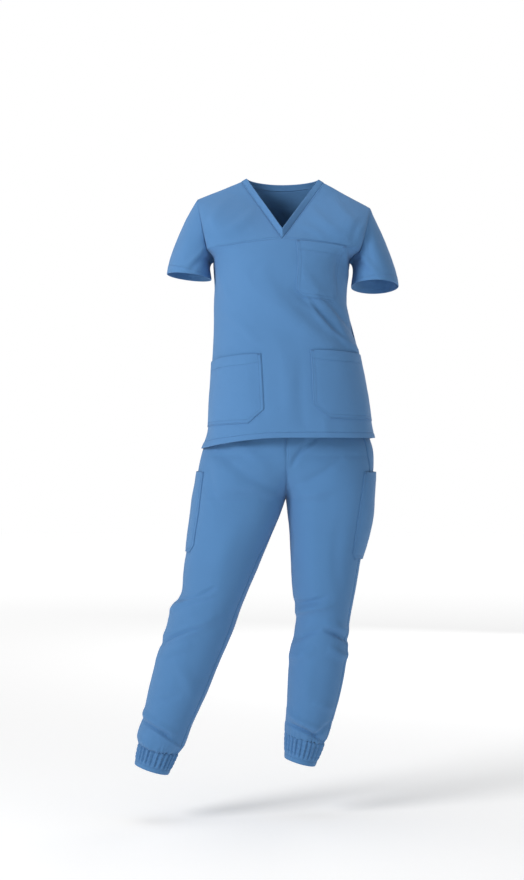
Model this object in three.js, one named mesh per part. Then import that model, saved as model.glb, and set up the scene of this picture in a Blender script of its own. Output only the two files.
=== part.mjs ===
// A set of medical scrubs, standing as it is worn: a V-neck tunic with short set-in sleeves over jogger trousers.
// Every cloth piece is a thin wall lofted through the sections of the garment, one piece for each cut panel.
// Millimetres. +Z is up, -Y is the front and +X is the wearer's left. "right" and "left" are the wearer's.
// The origin lies midway between the two shoulder seams, where the wearer's shoulders hold the tunic up.

import * as THREE from "three";

// Cloth
const CLOTH = 1.4; // wall thickness of one panel
const SEAM_GAP = 0.3; // clearance between two panels at a seam
const SHARP_FOLD = 0.72; // cosine beyond which the panels of a seam fold too sharply to share their normals
const ARMPIT_TOP = -70; // the armpits' folds lie below this height
const POCKET_LIFT = 0.9; // clearance between a patch pocket and the panel it is sewn to

// Tunic: closed sections from the hem up to the underarm. Heights are given at four places round each one.
const TUNIC_SECTIONS = [
  { zFront: -535, zBack: -552, zRight: -559, zLeft: -535, xRight: -186, xLeft: 205, yFront: -140, yBack: 132 },
  { zFront: -505, zBack: -515, zRight: -520, zLeft: -506, xRight: -172, xLeft: 198, yFront: -138, yBack: 129 },
  { zFront: -436, zBack: -440, zRight: -440, zLeft: -437, xRight: -167, xLeft: 187, yFront: -132, yBack: 121 },
  { zFront: -364, zBack: -366, zRight: -366, zLeft: -364, xRight: -162, xLeft: 173, yFront: -125, yBack: 108 },
  { zFront: -296, zBack: -296, zRight: -296, zLeft: -292, xRight: -158, xLeft: 155, yFront: -121, yBack: 99 },
  { zFront: -240, zBack: -236, zRight: -238, zLeft: -236, xRight: -158, xLeft: 141, yFront: -123, yBack: 98 },
  { zFront: -190, zBack: -184, zRight: -188, zLeft: -188, xRight: -156, xLeft: 141, yFront: -125, yBack: 101 },
  { zFront: -146, zBack: -146, zRight: -140, zLeft: -142, xRight: -158, xLeft: 147, yFront: -121, yBack: 105 },
];
const TUNIC_SIDE_Y = 4; // the side seams' place from front to back
const TUNIC_SQUARENESS = 2.35; // superellipse exponent of a tunic section
const CHEST_SEAM = { zMiddle: -97, zEnd: -117, xRight: -171, xLeft: 169, yMiddle: -106, yEnd: -44 };
const UPPER_BACK = [
  { zMiddle: -100, zRight: -104, zLeft: -112, xRight: -172, xLeft: 168, yMiddle: 108, yEnd: 48 },
  { zMiddle: -42, zRight: -48, zLeft: -62, xRight: -185, xLeft: 184, yMiddle: 98, yEnd: 48 },
];

// Neck and shoulders
const NECK_SHARE = 0.318; // share of the half back that the neckline takes
const V_POINT = [-5, -106, -97];
const V_POINT_INNER = [-5, -101, -75];
const BACK_NECK = [-4, 69, 29];
const BACK_NECK_INNER = [-4, 66, 42];
const SHOULDERS = {
  right: { neck: [-96, 21, 44], neckInner: [-84, 20, 51], tip: [-195, 8, 2] },
  left: { neck: [90, 21, 42], neckInner: [78, 20, 49], tip: [194.5, 8, -17.5] },
};
const YOKE_FULLNESS = 24; // how far the middle of the yoke stands forward of its edges
const SHOULDER_ROUND = { reach: 52, rise: 9 }; // slope of the cloth as it passes over the shoulder seam

// Sleeves: the hem ring, how far each runs on from the armhole before it turns down, and how strongly its head
// stands out over the arm
const SLEEVES = {
  right: { hem: [-213.5, 4, -173], halfWidth: 50, halfDepth: 67, dropInward: 12, dropBack: 3, run: 62, spread: 0.52 },
  left: { hem: [204.5, 4, -195], halfWidth: 53, halfDepth: 67, dropInward: 0, dropBack: 11, run: 62, spread: 0.26 },
};
const UNDERARM_TURN = 42; // how far the sleeve turns out from the body before it hangs

// Patch pockets on the tunic front: the inner edge, the mouth and the bottom, seen from the front
const LOWER_POCKETS = {
  right: { xMouth: -52, xBottom: -44, zMouthInner: -350, zMouthSide: -368, zBottomInner: -502, zBottomSide: -511 },
  left: { xMouth: 56, xBottom: 62, zMouthInner: -342, zMouthSide: -352, zBottomInner: -491, zBottomSide: -497 },
};
const LOWER_POCKET_CORNER = { width: 22, height: 30 }; // slanted lower corner
const CHEST_POCKET = { xInner: 28, xOuter: 119, zTopInner: -101, zTopOuter: -112, drop: 124, corner: 14 };
const POCKET_GAPE = 4; // how far a pocket's mouth stands off the panel

// Trousers: closed sections round both hips, from the waist seam down, then round each leg
const CENTRE_SEAM_X = 4;
const CROTCH_Z = -672;
const FORK_HEIGHT = 96; // height of the curve of the crotch seams
const FORK_ROUND = 1.45; // 1 gives a wide fork; more gives a narrow one
const THIGH_SQUARENESS = { crotch: 2.5, elsewhere: 2.05, reach: 150 }; // superellipse exponents of a section
const HIP_SECTIONS = [
  { z: CROTCH_Z, xRight: -202, xLeft: 193, y: 6, front: 104, back: 114 },
  { z: -640, xRight: -197, xLeft: 197, y: 4, front: 108, back: 119 },
  { z: -600, xRight: -192, xLeft: 201, y: 2, front: 113, back: 125 },
  { z: -562, xRight: -182.4, xLeft: 200, y: 0, front: 116, back: 127.5 },
  { z: -520, xRight: -169.1, xLeft: 188, y: 0, front: 113, back: 118 },
  { z: -438, xRight: -150, xLeft: 164, y: -2, front: 104, back: 98 },
];
const LEG_SECTIONS = {
  right: [
    { z: -1229, inner: -237, outer: -325, y: -32, front: 50, back: 50, tilt: -0.26 },
    { z: -1206, inner: -221, outer: -327, y: -32, front: 60, back: 58, tilt: -0.24 },
    { z: -1166, inner: -204, outer: -316, y: -30, front: 62, back: 62, tilt: -0.14 },
    { z: -1100, inner: -173, outer: -302, y: -28, front: 66, back: 72, tilt: -0.1 },
    { z: -1030, inner: -143, outer: -285, y: -27, front: 70, back: 78, tilt: -0.06 },
    { z: -965, inner: -115, outer: -265, y: -25, front: 76, back: 76, tilt: -0.04 },
    { z: -918, inner: -97, outer: -253, y: -22, front: 82, back: 76, tilt: 0 },
    { z: -884, inner: -83, outer: -231, y: -18, front: 84, back: 80, tilt: 0 },
    { z: -832, inner: -61, outer: -225, y: -12, front: 88, back: 88, tilt: 0 },
    { z: -760, inner: -31, outer: -214, y: -4, front: 95, back: 98, tilt: 0 },
    { z: -706, inner: -8, outer: -206, y: 2, front: 101, back: 108, tilt: 0 },
    { z: CROTCH_Z, inner: CENTRE_SEAM_X, outer: -202, y: 6, front: 104, back: 114, tilt: 0 },
  ],
  left: [
    { z: -1213, inner: 3, outer: 91, y: 24, front: 50, back: 50, tilt: -0.3 },
    { z: -1194, inner: 2, outer: 101, y: 22, front: 58, back: 58, tilt: -0.24 },
    { z: -1156, inner: 6, outer: 114, y: 20, front: 62, back: 64, tilt: -0.12 },
    { z: -1084, inner: 9, outer: 133, y: 16, front: 67, back: 74, tilt: -0.06 },
    { z: -1012, inner: 14, outer: 144, y: 12, front: 72, back: 78, tilt: 0 },
    { z: -966, inner: 24, outer: 146, y: 10, front: 74, back: 76, tilt: 0 },
    { z: -930, inner: 27, outer: 151, y: 8, front: 78, back: 76, tilt: 0 },
    { z: -884, inner: 20, outer: 160, y: 8, front: 82, back: 82, tilt: 0 },
    { z: -832, inner: 16, outer: 169, y: 8, front: 88, back: 90, tilt: 0 },
    { z: -760, inner: 13, outer: 182, y: 8, front: 95, back: 100, tilt: 0 },
    { z: -706, inner: 8, outer: 190, y: 7, front: 101, back: 109, tilt: 0 },
    { z: CROTCH_Z, inner: CENTRE_SEAM_X, outer: 193, y: 6, front: 104, back: 114, tilt: 0 },
  ],
};
const SEAM_TURN = {
  // how far forward of the side the outer seam and the inseam run, in radians
  right: { side: 0.09, inseam: 0.36 },
  left: { side: 0.42, inseam: 0.06 },
};
const INSEAM_TURN_LENGTH = 160; // length below the crotch over which the inseam turns forward
const WAISTBAND = { height: 34, xRight: -147, xLeft: 161, front: 102, back: 96 };

// Ankle cuffs: a ring of shirred cloth with one wave for each gather
const CUFFS = {
  right: {
    top: { x: -281, y: -32, z: -1229, halfWidth: 44, halfDepth: 50, tilt: -0.26 },
    bottom: { x: -296, y: -34, z: -1274, halfWidth: 38, halfDepth: 45, tilt: -0.32 },
  },
  left: {
    top: { x: 47, y: 24, z: -1213, halfWidth: 44, halfDepth: 50, tilt: -0.3 },
    bottom: { x: 36, y: 26, z: -1267, halfWidth: 35, halfDepth: 45, tilt: -0.28 },
  },
};
const GATHERS = 22; // shirred waves round each cuff
const GATHER_HEIGHT = 1.7;
const CUFF_HEM_SHARE = 0.22; // plain hem below the shirring
const CUFF_GAP = 0.5; // clearance between the cuff and the leg above it

// Cargo pockets: their height, and how far they reach from the side seam, in cells of the panel under them
const CARGO_POCKETS = {
  right: { zTop: -611, zBottom: -790, forward: 2.05, backward: 2.6 },
  left: { zTop: -611, zBottom: -806, forward: 1.95, backward: 2.7 },
};
const CARGO_CORNER = 16;
const CARGO_GAPE = { right: 5, left: 11 };

// Largest folds of the cloth: ridges (height above 0) and troughs (below 0) between two points of the front view
const TUNIC_FOLDS = [
  { x1: -10, z1: -195, x2: 160, z2: -356, width: 24, height: 8 },
  { x1: -95, z1: -140, x2: 50, z2: -275, width: 26, height: 5 },
  { x1: 60, z1: -205, x2: 160, z2: -300, width: 20, height: -5 },
];
const LEG_FOLDS = {
  right: [
    { x1: -246, z1: -992, x2: -180, z2: -966, width: 10, height: -5 },
    { x1: -236, z1: -896, x2: -170, z2: -872, width: 11, height: -4 },
    { x1: -318, z1: -1172, x2: -252, z2: -1198, width: 9, height: -5 },
  ],
  left: [
    { x1: 18, z1: -990, x2: 70, z2: -962, width: 10, height: -4 },
    { x1: 145, z1: -985, x2: 95, z2: -962, width: 10, height: -4 },
    { x1: 12, z1: -1160, x2: 78, z2: -1196, width: 9, height: -4 },
  ],
};

// Fineness of each wall, in cells
const CELLS = {
  half: 12, // across half the tunic front
  backNeck: 4,
  tunicRows: 14, // hem to underarm
  chestRows: 3, // underarm to chest seam
  yokeRows: 6,
  upperBackRows: 7,
  sleeveRows: 6,
  panel: 10, // across a trouser panel
  legRows: 20,
  forkRows: 5,
  hipRows: 4,
  aroundCuff: 4 * GATHERS,
};

const CLOTH_BLUE = new THREE.Color(0x5f92c8);
const cloth = (roughness) => new THREE.MeshStandardMaterial({ color: CLOTH_BLUE, roughness, metalness: 0 });
const TUNIC_CLOTH = cloth(0.82);
const TROUSER_CLOTH = cloth(0.84);

// Small helpers
const point = (xyz) => new THREE.Vector3(...xyz);
const mix = (a, b, share) => a + (b - a) * share;
const mixPoints = (a, b, share) => a.clone().lerp(b, share);
const clamp = THREE.MathUtils.clamp;
const steps = (count) => Array.from({ length: count + 1 }, (_, i) => i / count);
const signedPower = (value, power) => Math.sign(value) * Math.abs(value) ** power;

// A cubic between two places with a slope at each end. It serves numbers and points alike through the four weights.
function hermiteWeights(share) {
  const s2 = share * share;
  const s3 = s2 * share;
  return [2 * s3 - 3 * s2 + 1, s3 - 2 * s2 + share, 3 * s2 - 2 * s3, s3 - s2];
}

function hermite(start, startSlope, end, endSlope, share) {
  const [a, b, c, d] = hermiteWeights(share);
  return new THREE.Vector3()
    .addScaledVector(start, a)
    .addScaledVector(startSlope, b)
    .addScaledVector(end, c)
    .addScaledVector(endSlope, d);
}

// A smooth value of one column of a table, at a place counted in rows.
function smoothColumn(table, key, place) {
  const last = table.length - 1;
  const i = clamp(Math.floor(place), 0, last - 1);
  const at = (row) => table[row][key];
  const slope = (row) => {
    if (row === 0) return at(1) - at(0);
    if (row === last) return at(last) - at(last - 1);
    return (at(row + 1) - at(row - 1)) / 2;
  };
  const [a, b, c, d] = hermiteWeights(place - i);
  return a * at(i) + b * slope(i) + c * at(i + 1) + d * slope(i + 1);
}

function smoothRow(table, place) {
  return Object.fromEntries(Object.keys(table[0]).map((key) => [key, smoothColumn(table, key, place)]));
}

// The place, counted in rows, at which a table reaches a height.
function placeOfHeight(table, z) {
  let low = 0;
  let high = table.length - 1;
  const rising = table[high].z > table[0].z;
  for (let i = 0; i < 40; i++) {
    const middle = (low + high) / 2;
    if (smoothColumn(table, "z", middle) < z === rising) low = middle;
    else high = middle;
  }
  return (low + high) / 2;
}

// How far a surface point is pushed out by the folds that cross it in the front view.
function foldHeight(folds, x, z) {
  return folds.reduce((sum, fold) => {
    const dx = fold.x2 - fold.x1;
    const dz = fold.z2 - fold.z1;
    const length = Math.hypot(dx, dz);
    const along = ((x - fold.x1) * dx + (z - fold.z1) * dz) / length;
    const across = ((x - fold.x1) * dz - (z - fold.z1) * dx) / length;
    const share = along / length;
    if (share <= 0 || share >= 1) return sum;
    return sum + fold.height * Math.sin(Math.PI * share) ** 0.8 * Math.exp(-((across / fold.width) ** 2));
  }, 0);
}

// Tunic body. Rows 0 to UNDERARM follow the table; the next row of the front is the chest seam.
const UNDERARM = TUNIC_SECTIONS.length - 1;

function tunicRow(row, turn) {
  const section = TUNIC_SECTIONS[row];
  const across = signedPower(Math.sin(turn), 2 / TUNIC_SQUARENESS);
  const deep = Math.abs(Math.cos(turn)) ** (2 / TUNIC_SQUARENESS);
  const isFront = Math.cos(turn) >= 0;
  const xMiddle = (section.xRight + section.xLeft) / 2;
  const x = mix(xMiddle, across < 0 ? section.xRight : section.xLeft, Math.abs(across));
  const y = mix(TUNIC_SIDE_Y, isFront ? section.yFront : section.yBack, deep);
  const zMiddle = isFront ? section.zFront : section.zBack;
  const z = mix(zMiddle, across < 0 ? section.zRight : section.zLeft, Math.abs(across) ** 2);
  return new THREE.Vector3(x, y, z);
}

// The seam across the chest, from the right armhole (-1) through the point of the V (0) to the left armhole (1).
function chestSeam(across) {
  const turn = (across * Math.PI) / 2;
  const reach = Math.abs(Math.sin(turn));
  const xEnd = across < 0 ? CHEST_SEAM.xRight : CHEST_SEAM.xLeft;
  const x = mix(V_POINT[0], xEnd, reach);
  const y = mix(CHEST_SEAM.yEnd, CHEST_SEAM.yMiddle, Math.cos(turn) ** 0.9);
  const z = mix(CHEST_SEAM.zMiddle, CHEST_SEAM.zEnd, reach ** 1.3);
  return new THREE.Vector3(x, y, z);
}

// The slope of the body's columns at the underarm. At the side seam it is the same for front and back.
function underarmSlope(below, at, above, across) {
  const free = above.clone().sub(below).multiplyScalar(0.5);
  const held = at.clone().sub(below);
  return mixPoints(free, held, Math.abs(across) ** 4);
}

// The slope at the shoulder seam: rounded over the shoulder, but running straight up at the neck.
function shoulderSlope(straight, backward, share) {
  const round = new THREE.Vector3(0, backward * SHOULDER_ROUND.reach, SHOULDER_ROUND.rise);
  return mixPoints(straight, round, clamp(0.35 + 1.6 * share, 0, 1));
}

// One column of the front or back: row points joined by a smooth curve.
function columnPoint(rowPoint, rowCount, across, place, topSlope = (straight) => straight) {
  const last = rowCount - 1;
  const i = clamp(Math.floor(place), 0, last - 1);
  const slope = (row) => {
    if (row === 0) return rowPoint(1).sub(rowPoint(0));
    if (row === last) return topSlope(rowPoint(last).sub(rowPoint(last - 1)));
    if (row === UNDERARM) return underarmSlope(rowPoint(row - 1), rowPoint(row), rowPoint(row + 1), across);
    return rowPoint(row + 1).sub(rowPoint(row - 1)).multiplyScalar(0.5);
  };
  return hermite(rowPoint(i), slope(i), rowPoint(i + 1), slope(i + 1), place - i);
}

function frontPoint(across, place) {
  const turn = (across * Math.PI) / 2;
  const rowPoint = (row) => (row <= UNDERARM ? tunicRow(row, turn) : chestSeam(across));
  const at = columnPoint(rowPoint, UNDERARM + 2, across, place);
  const towardsFront = Math.cos(turn) ** 0.5;
  at.y -= foldHeight(TUNIC_FOLDS, at.x, at.z) * towardsFront;
  return at;
}

// The shoulder seam, from the neck (0) to the tip (1), spaced as the rows below it are.
function shoulderSeam(side, share) {
  const start = Math.sin((NECK_SHARE * Math.PI) / 2);
  const here = Math.sin((mix(NECK_SHARE, 1, share) * Math.PI) / 2);
  const { neck, tip } = SHOULDERS[side];
  return mixPoints(point(neck), point(tip), (here - start) / (1 - start));
}

function backTop(across) {
  const side = across < 0 ? "right" : "left";
  const reach = Math.abs(across);
  if (reach >= NECK_SHARE) return shoulderSeam(side, (reach - NECK_SHARE) / (1 - NECK_SHARE));
  const share = reach / NECK_SHARE;
  return neckCurve(point(BACK_NECK), point(SHOULDERS[side].neck), share);
}

// A back neckline: round at the middle of the back and turning forward at the neck point.
function neckCurve(middle, end, share) {
  const turn = (share * Math.PI) / 2;
  return new THREE.Vector3(
    mix(middle.x, end.x, Math.sin(turn)),
    mix(end.y, middle.y, Math.cos(turn)),
    mix(end.z, middle.z, Math.cos(turn) ** 1.5),
  );
}

function backPoint(across, place) {
  // "across" runs from the left side seam (1) to the right one (-1), because columns turn one way round the body.
  const turn = Math.PI - (across * Math.PI) / 2;
  const upper = (row) => {
    const section = UPPER_BACK[row];
    const half = (across * Math.PI) / 2;
    const reach = Math.abs(Math.sin(half));
    return new THREE.Vector3(
      mix((section.xRight + section.xLeft) / 2, across < 0 ? section.xRight : section.xLeft, reach),
      mix(section.yEnd, section.yMiddle, Math.cos(half) ** 0.9),
      mix(section.zMiddle, across < 0 ? section.zRight : section.zLeft, reach ** 2),
    );
  };
  const rowPoint = (row) => {
    if (row <= UNDERARM) return tunicRow(row, turn);
    if (row <= UNDERARM + UPPER_BACK.length) return upper(row - UNDERARM - 1);
    return backTop(across);
  };
  const share = (Math.abs(across) - NECK_SHARE) / (1 - NECK_SHARE);
  const topSlope = (straight) => (share < 0 ? straight : shoulderSlope(straight, -1, share));
  return columnPoint(rowPoint, UNDERARM + UPPER_BACK.length + 2, across, place, topSlope);
}

// Half of the yoke: from the V edge (across 0) to the armhole (across 1), and from the chest seam up to the shoulder.
function yokePoint(side, across, up) {
  const sign = side === "right" ? -1 : 1;
  const bottom = chestSeam(sign * across);
  const top = shoulderSeam(side, across);
  const innerMiddle = mixPoints(point(V_POINT), point(SHOULDERS[side].neck), 0.5);
  const outerEnd = chestSeam(sign);
  const tip = point(SHOULDERS[side].tip);
  const outerMiddle = new THREE.Vector3(mix(outerEnd.x, tip.x, 0.56), -44, mix(outerEnd.z, tip.z, 0.5));
  const middle = mixPoints(innerMiddle, outerMiddle, Math.sin((across * Math.PI) / 2));
  middle.y -= YOKE_FULLNESS * Math.sin(Math.PI * across);
  const below = mixPoints(bottom.clone().multiplyScalar(2).sub(middle), frontPoint(sign * across, UNDERARM), across);
  const bottomSlope = middle.clone().sub(below).multiplyScalar(0.5);
  const middleSlope = top.clone().sub(bottom).multiplyScalar(0.5);
  const topSlope = shoulderSlope(top.clone().sub(middle), 1, across);
  if (up < 0.5) return hermite(bottom, bottomSlope, middle, middleSlope, up * 2);
  return hermite(middle, middleSlope, top, topSlope, up * 2 - 1);
}

// A wall's outer points: rows of points, each row running the way that puts the outside on the left of the climb.
function grid(name, rowShares, columnShares, at, options = {}) {
  const points = rowShares.map((row) => columnShares.map((column) => at(column, row)));
  return { name, points, closed: false, thickness: CLOTH, ...options };
}

const between = (start, end, count) => steps(count).map((share) => mix(start, end, share));

function tunicGrids() {
  const across = between(-1, 1, 2 * CELLS.half);
  const bodyRows = between(0, UNDERARM, CELLS.tunicRows);
  const frontRows = [...bodyRows, ...between(UNDERARM, UNDERARM + 1, CELLS.chestRows).slice(1)];
  const backTopPlace = UNDERARM + UPPER_BACK.length + 1;
  const backRows = [...bodyRows, ...between(UNDERARM, backTopPlace, CELLS.upperBackRows).slice(1)];
  const shoulderPart = steps(CELLS.half).map((share) => mix(NECK_SHARE, 1, share));
  const neckPart = between(NECK_SHARE, -NECK_SHARE, CELLS.backNeck).slice(1, -1);
  const backAcross = [...shoulderPart.slice().reverse(), ...neckPart, ...shoulderPart.map((share) => -share)];
  const front = grid("front", frontRows, across, frontPoint);
  const back = grid("back", backRows, backAcross, backPoint);
  const half = steps(CELLS.half);
  const rows = steps(CELLS.yokeRows);
  const yokes = {
    right: grid("yoke_right", rows, half.slice().reverse(), (share, up) => yokePoint("right", share, up)),
    left: grid("yoke_left", rows, half, (share, up) => yokePoint("left", share, up)),
  };
  const sleeves = ["right", "left"].map((side) => sleeveGrid(side, armholeRing(side, front, back, yokes[side])));
  return [front, back, yokes.right, yokes.left, neckband(yokes, back), ...sleeves];
}

const columnOf = (panel, index) => panel.points.map((row) => row.at(index));

// The armhole, from the underarm round the front, over the shoulder and down the back to the underarm again.
function armholeRing(side, front, back, yoke) {
  const edge = side === "right" ? 0 : -1;
  const backEdge = side === "right" ? -1 : 0;
  const lower = columnOf(front, edge).slice(CELLS.tunicRows);
  const upper = columnOf(yoke, edge);
  const behind = columnOf(back, backEdge).slice(CELLS.tunicRows).reverse();
  return [...lower, ...upper.slice(1), ...behind.slice(1)];
}

function sleeveGrid(side, armhole) {
  const sleeve = SLEEVES[side];
  const sign = side === "right" ? -1 : 1;
  const lengths = armhole.map((at, i) => (i === 0 ? 0 : at.distanceTo(armhole[i - 1])));
  const total = lengths.reduce((sum, length) => sum + length, 0);
  let passed = 0;
  const columns = armhole.map((start, i) => {
    passed += lengths[i];
    const turn = (2 * Math.PI * passed) / total; // 0 at the underarm, half a turn at the shoulder
    const outward = -Math.cos(turn);
    const forward = Math.sin(turn);
    const end = new THREE.Vector3(
      sleeve.hem[0] + sign * sleeve.halfWidth * outward,
      sleeve.hem[1] - sleeve.halfDepth * forward,
      sleeve.hem[2] + (sleeve.dropInward / 2) * outward + sleeve.dropBack * forward,
    );
    const axis = point(sleeve.hem).sub(point(SHOULDERS[side].tip)).normalize();
    const radial = new THREE.Vector3(sign * outward, -forward, 0.25 * outward);
    const spread = (sleeve.spread * (1 + outward)) / 2;
    const under = ((1 - outward) / 2) ** 3;
    const startSlope = axis.clone().addScaledVector(radial, spread).multiplyScalar(sleeve.run * (1 + 0.4 * outward));
    startSlope.add(new THREE.Vector3(sign * UNDERARM_TURN * under, 0, (UNDERARM_TURN / 3) * under));
    const endSlope = axis.clone().multiplyScalar(start.distanceTo(end));
    return { start, startSlope, end, endSlope };
  });
  // Rows climb from the hem to the armhole, and columns turn the same way round as the body's.
  const ordered = side === "right" ? columns.slice().reverse() : columns;
  const points = steps(CELLS.sleeveRows).map((share) =>
    ordered.map((c) => hermite(c.start, c.startSlope, c.end, c.endSlope, 1 - share)),
  );
  return { name: `sleeve_${side}`, points, closed: true, thickness: CLOTH };
}

// The neckband runs down the right V edge, up the left one and round the back of the neck.
function neckband(yokes, back) {
  const rightEdge = columnOf(yokes.right, -1).reverse();
  const leftEdge = columnOf(yokes.left, 0);
  const backEdge = back.points.at(-1).slice(CELLS.half, CELLS.half + CELLS.backNeck + 1);
  const outer = [...rightEdge, ...leftEdge.slice(1), ...backEdge.slice(1)];
  const innerPoint = (i) => {
    const rows = CELLS.yokeRows;
    const vPoint = point(V_POINT_INNER);
    if (i <= rows) return mixPoints(point(SHOULDERS.right.neckInner), vPoint, i / rows);
    if (i <= 2 * rows) return mixPoints(vPoint, point(SHOULDERS.left.neckInner), (i - rows) / rows);
    const across = mix(1, -1, (i - 2 * rows) / CELLS.backNeck);
    const side = across < 0 ? "right" : "left";
    return neckCurve(point(BACK_NECK_INNER), point(SHOULDERS[side].neckInner), Math.abs(across));
  };
  const points = steps(2).map((share) => outer.map((at, i) => mixPoints(at, innerPoint(i), share)));
  return { name: "neckband", points, closed: true, thickness: CLOTH };
}

// Trousers
function legRing(side, place) {
  const row = smoothRow(LEG_SECTIONS[side], place);
  const near = clamp(1 - (CROTCH_Z - row.z) / THIGH_SQUARENESS.reach, 0, 1);
  return { ...row, power: squareness(near), open: 1, radius: Math.abs(row.outer - row.inner) / 2, x: (row.inner + row.outer) / 2 };
}

const squareness = (near) => mix(THIGH_SQUARENESS.elsewhere, THIGH_SQUARENESS.crotch, near * near * (3 - 2 * near));

// Above the crotch each half is the part of a ring that lies on its own side of the centre seams.
function hipRing(side, z) {
  const row = smoothRow(HIP_SECTIONS, placeOfHeight(HIP_SECTIONS, z));
  const sign = side === "right" ? -1 : 1;
  const outer = side === "right" ? row.xRight : row.xLeft;
  const open = 1 - clamp((z - CROTCH_Z) / FORK_HEIGHT, 0, 1) ** FORK_ROUND;
  const radius = Math.abs(outer - CENTRE_SEAM_X) / (1 + open);
  const near = clamp(1 - (z - CROTCH_Z) / THIGH_SQUARENESS.reach, 0, 1);
  return { ...row, power: squareness(near), z, open, radius, x: outer - sign * radius, tilt: 0 };
}

// A point of a leg's ring. turn is 0 at the front and grows towards the wearer's left.
function ringPoint(ring, turn) {
  const x = ring.x + ring.radius * signedPower(Math.sin(turn), 2 / ring.power);
  const depth = Math.cos(turn) >= 0 ? ring.front : ring.back;
  const y = ring.y - depth * signedPower(Math.cos(turn), 2 / ring.power);
  return new THREE.Vector3(x, y, ring.z + ring.tilt * (x - ring.x));
}

// The turns of the four seams of one leg: side seam and inner seam, as the front and the back panel meet them.
function seamTurns(side, ring) {
  const sign = side === "right" ? -1 : 1;
  const below = clamp((CROTCH_Z - ring.z) / INSEAM_TURN_LENGTH, 0, 1);
  const inseam = SEAM_TURN[side].inseam * below * below * (3 - 2 * below);
  const inner = Math.asin(ring.open ** (ring.power / 2));
  return {
    side: sign * (Math.PI / 2 - SEAM_TURN[side].side),
    innerFront: -sign * (inner - inseam),
    innerBack: -sign * (Math.PI - inner - inseam),
  };
}

function rowsOfHeights() {
  const fork = steps(CELLS.forkRows).map((share) => CROTCH_Z + FORK_HEIGHT * share ** 1.25);
  const waist = HIP_SECTIONS.at(-1).z;
  return [...fork, ...between(CROTCH_Z + FORK_HEIGHT, waist, CELLS.hipRows).slice(1)];
}

// One trouser panel. share runs across it the way that turns round the body, and rows climb from the cuff. Folds
// die out towards its seams, so that it still meets the next panel there.
function trouserPanel(side, face) {
  const legRows = between(0, LEG_SECTIONS[side].length - 1, CELLS.legRows);
  const rings = [
    ...legRows.map((place) => legRing(side, place)),
    ...rowsOfHeights().slice(1).map((z) => hipRing(side, z)),
  ];
  const points = rings.map((ring) =>
    steps(CELLS.panel).map((share) => {
      const turns = seamTurns(side, ring);
      const full = side === "right" ? -2 * Math.PI : 2 * Math.PI;
      const [from, to] =
        face === "front" ? [turns.side, turns.innerFront] : [turns.side, turns.innerBack + full];
      const runsOn = (side === "left") === (face === "back");
      const at = ringPoint(ring, runsOn ? mix(from, to, share) : mix(to, from, share));
      if (face === "front") at.y -= foldHeight(LEG_FOLDS[side], at.x, at.z) * Math.sin(Math.PI * share) ** 0.5;
      return at;
    }),
  );
  return { name: `trouser_${face}_${side}`, points, closed: false, thickness: CLOTH };
}

function waistband() {
  const z = HIP_SECTIONS.at(-1).z;
  const top = z + WAISTBAND.height;
  const middle = (WAISTBAND.xRight + WAISTBAND.xLeft) / 2;
  const upper = { xRight: WAISTBAND.xRight, xLeft: WAISTBAND.xLeft, front: WAISTBAND.front, back: WAISTBAND.back };
  const lower = HIP_SECTIONS.at(-1);
  const count = 4 * CELLS.panel;
  const points = steps(2).map((up) =>
    steps(count).map((share) => {
      const turn = share * 2 * Math.PI;
      const sideX = (row) => (Math.sin(turn) < 0 ? row.xRight : row.xLeft);
      const centre = mix(CENTRE_SEAM_X, middle, up);
      const power = 2 / THIGH_SQUARENESS.elsewhere;
      const x = mix(centre, mix(sideX(lower), sideX(upper), up), Math.abs(Math.sin(turn)) ** power);
      const depth = Math.cos(turn) >= 0 ? mix(lower.front, upper.front, up) : mix(lower.back, upper.back, up);
      return new THREE.Vector3(x, lower.y - depth * signedPower(Math.cos(turn), power), mix(z, top, up));
    }),
  );
  return { name: "waistband", points, closed: true, thickness: CLOTH };
}

function ankleCuff(side) {
  const { top, bottom } = CUFFS[side];
  const rows = [0, CUFF_HEM_SHARE, 0.6, 1];
  const swell = [0, 0.45, 1, 0.6]; // height of the gathers at each row
  const points = rows.map((up, i) =>
    steps(CELLS.aroundCuff).map((share) => {
      const turn = share * 2 * Math.PI;
      const ring = Object.fromEntries(Object.keys(top).map((key) => [key, mix(bottom[key], top[key], up)]));
      const wave = GATHER_HEIGHT * swell[i] * (Math.cos(GATHERS * turn) - 1) * 0.5;
      const x = ring.x + (ring.halfWidth + wave) * Math.sin(turn);
      const y = ring.y - (ring.halfDepth + wave) * Math.cos(turn);
      return new THREE.Vector3(x, y, ring.z - (up === 1 ? CUFF_GAP : 0) + ring.tilt * (x - ring.x));
    }),
  );
  return { name: `cuff_${side}`, points, closed: true, thickness: CLOTH, plainInside: GATHER_HEIGHT };
}

// Walls
const keyOf = (at) => [at.x, at.y, at.z].map((value) => Math.round(value * 50)).join(",");

// The normals of one panel at its points.
function ownNormals({ points }) {
  const sums = new Map();
  const add = (at, normal) => {
    const key = keyOf(at);
    if (!sums.has(key)) sums.set(key, new THREE.Vector3());
    sums.get(key).add(normal);
  };
  for (let i = 0; i + 1 < points.length; i++)
    for (let j = 0; j + 1 < points[i].length; j++) {
      const corners = [points[i][j], points[i][j + 1], points[i + 1][j + 1], points[i + 1][j]];
      const normal = corners[2].clone().sub(corners[0]).cross(corners[3].clone().sub(corners[1]));
      corners.forEach((corner) => add(corner, normal));
    }
  sums.forEach((sum) => sum.normalize());
  return sums;
}

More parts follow.
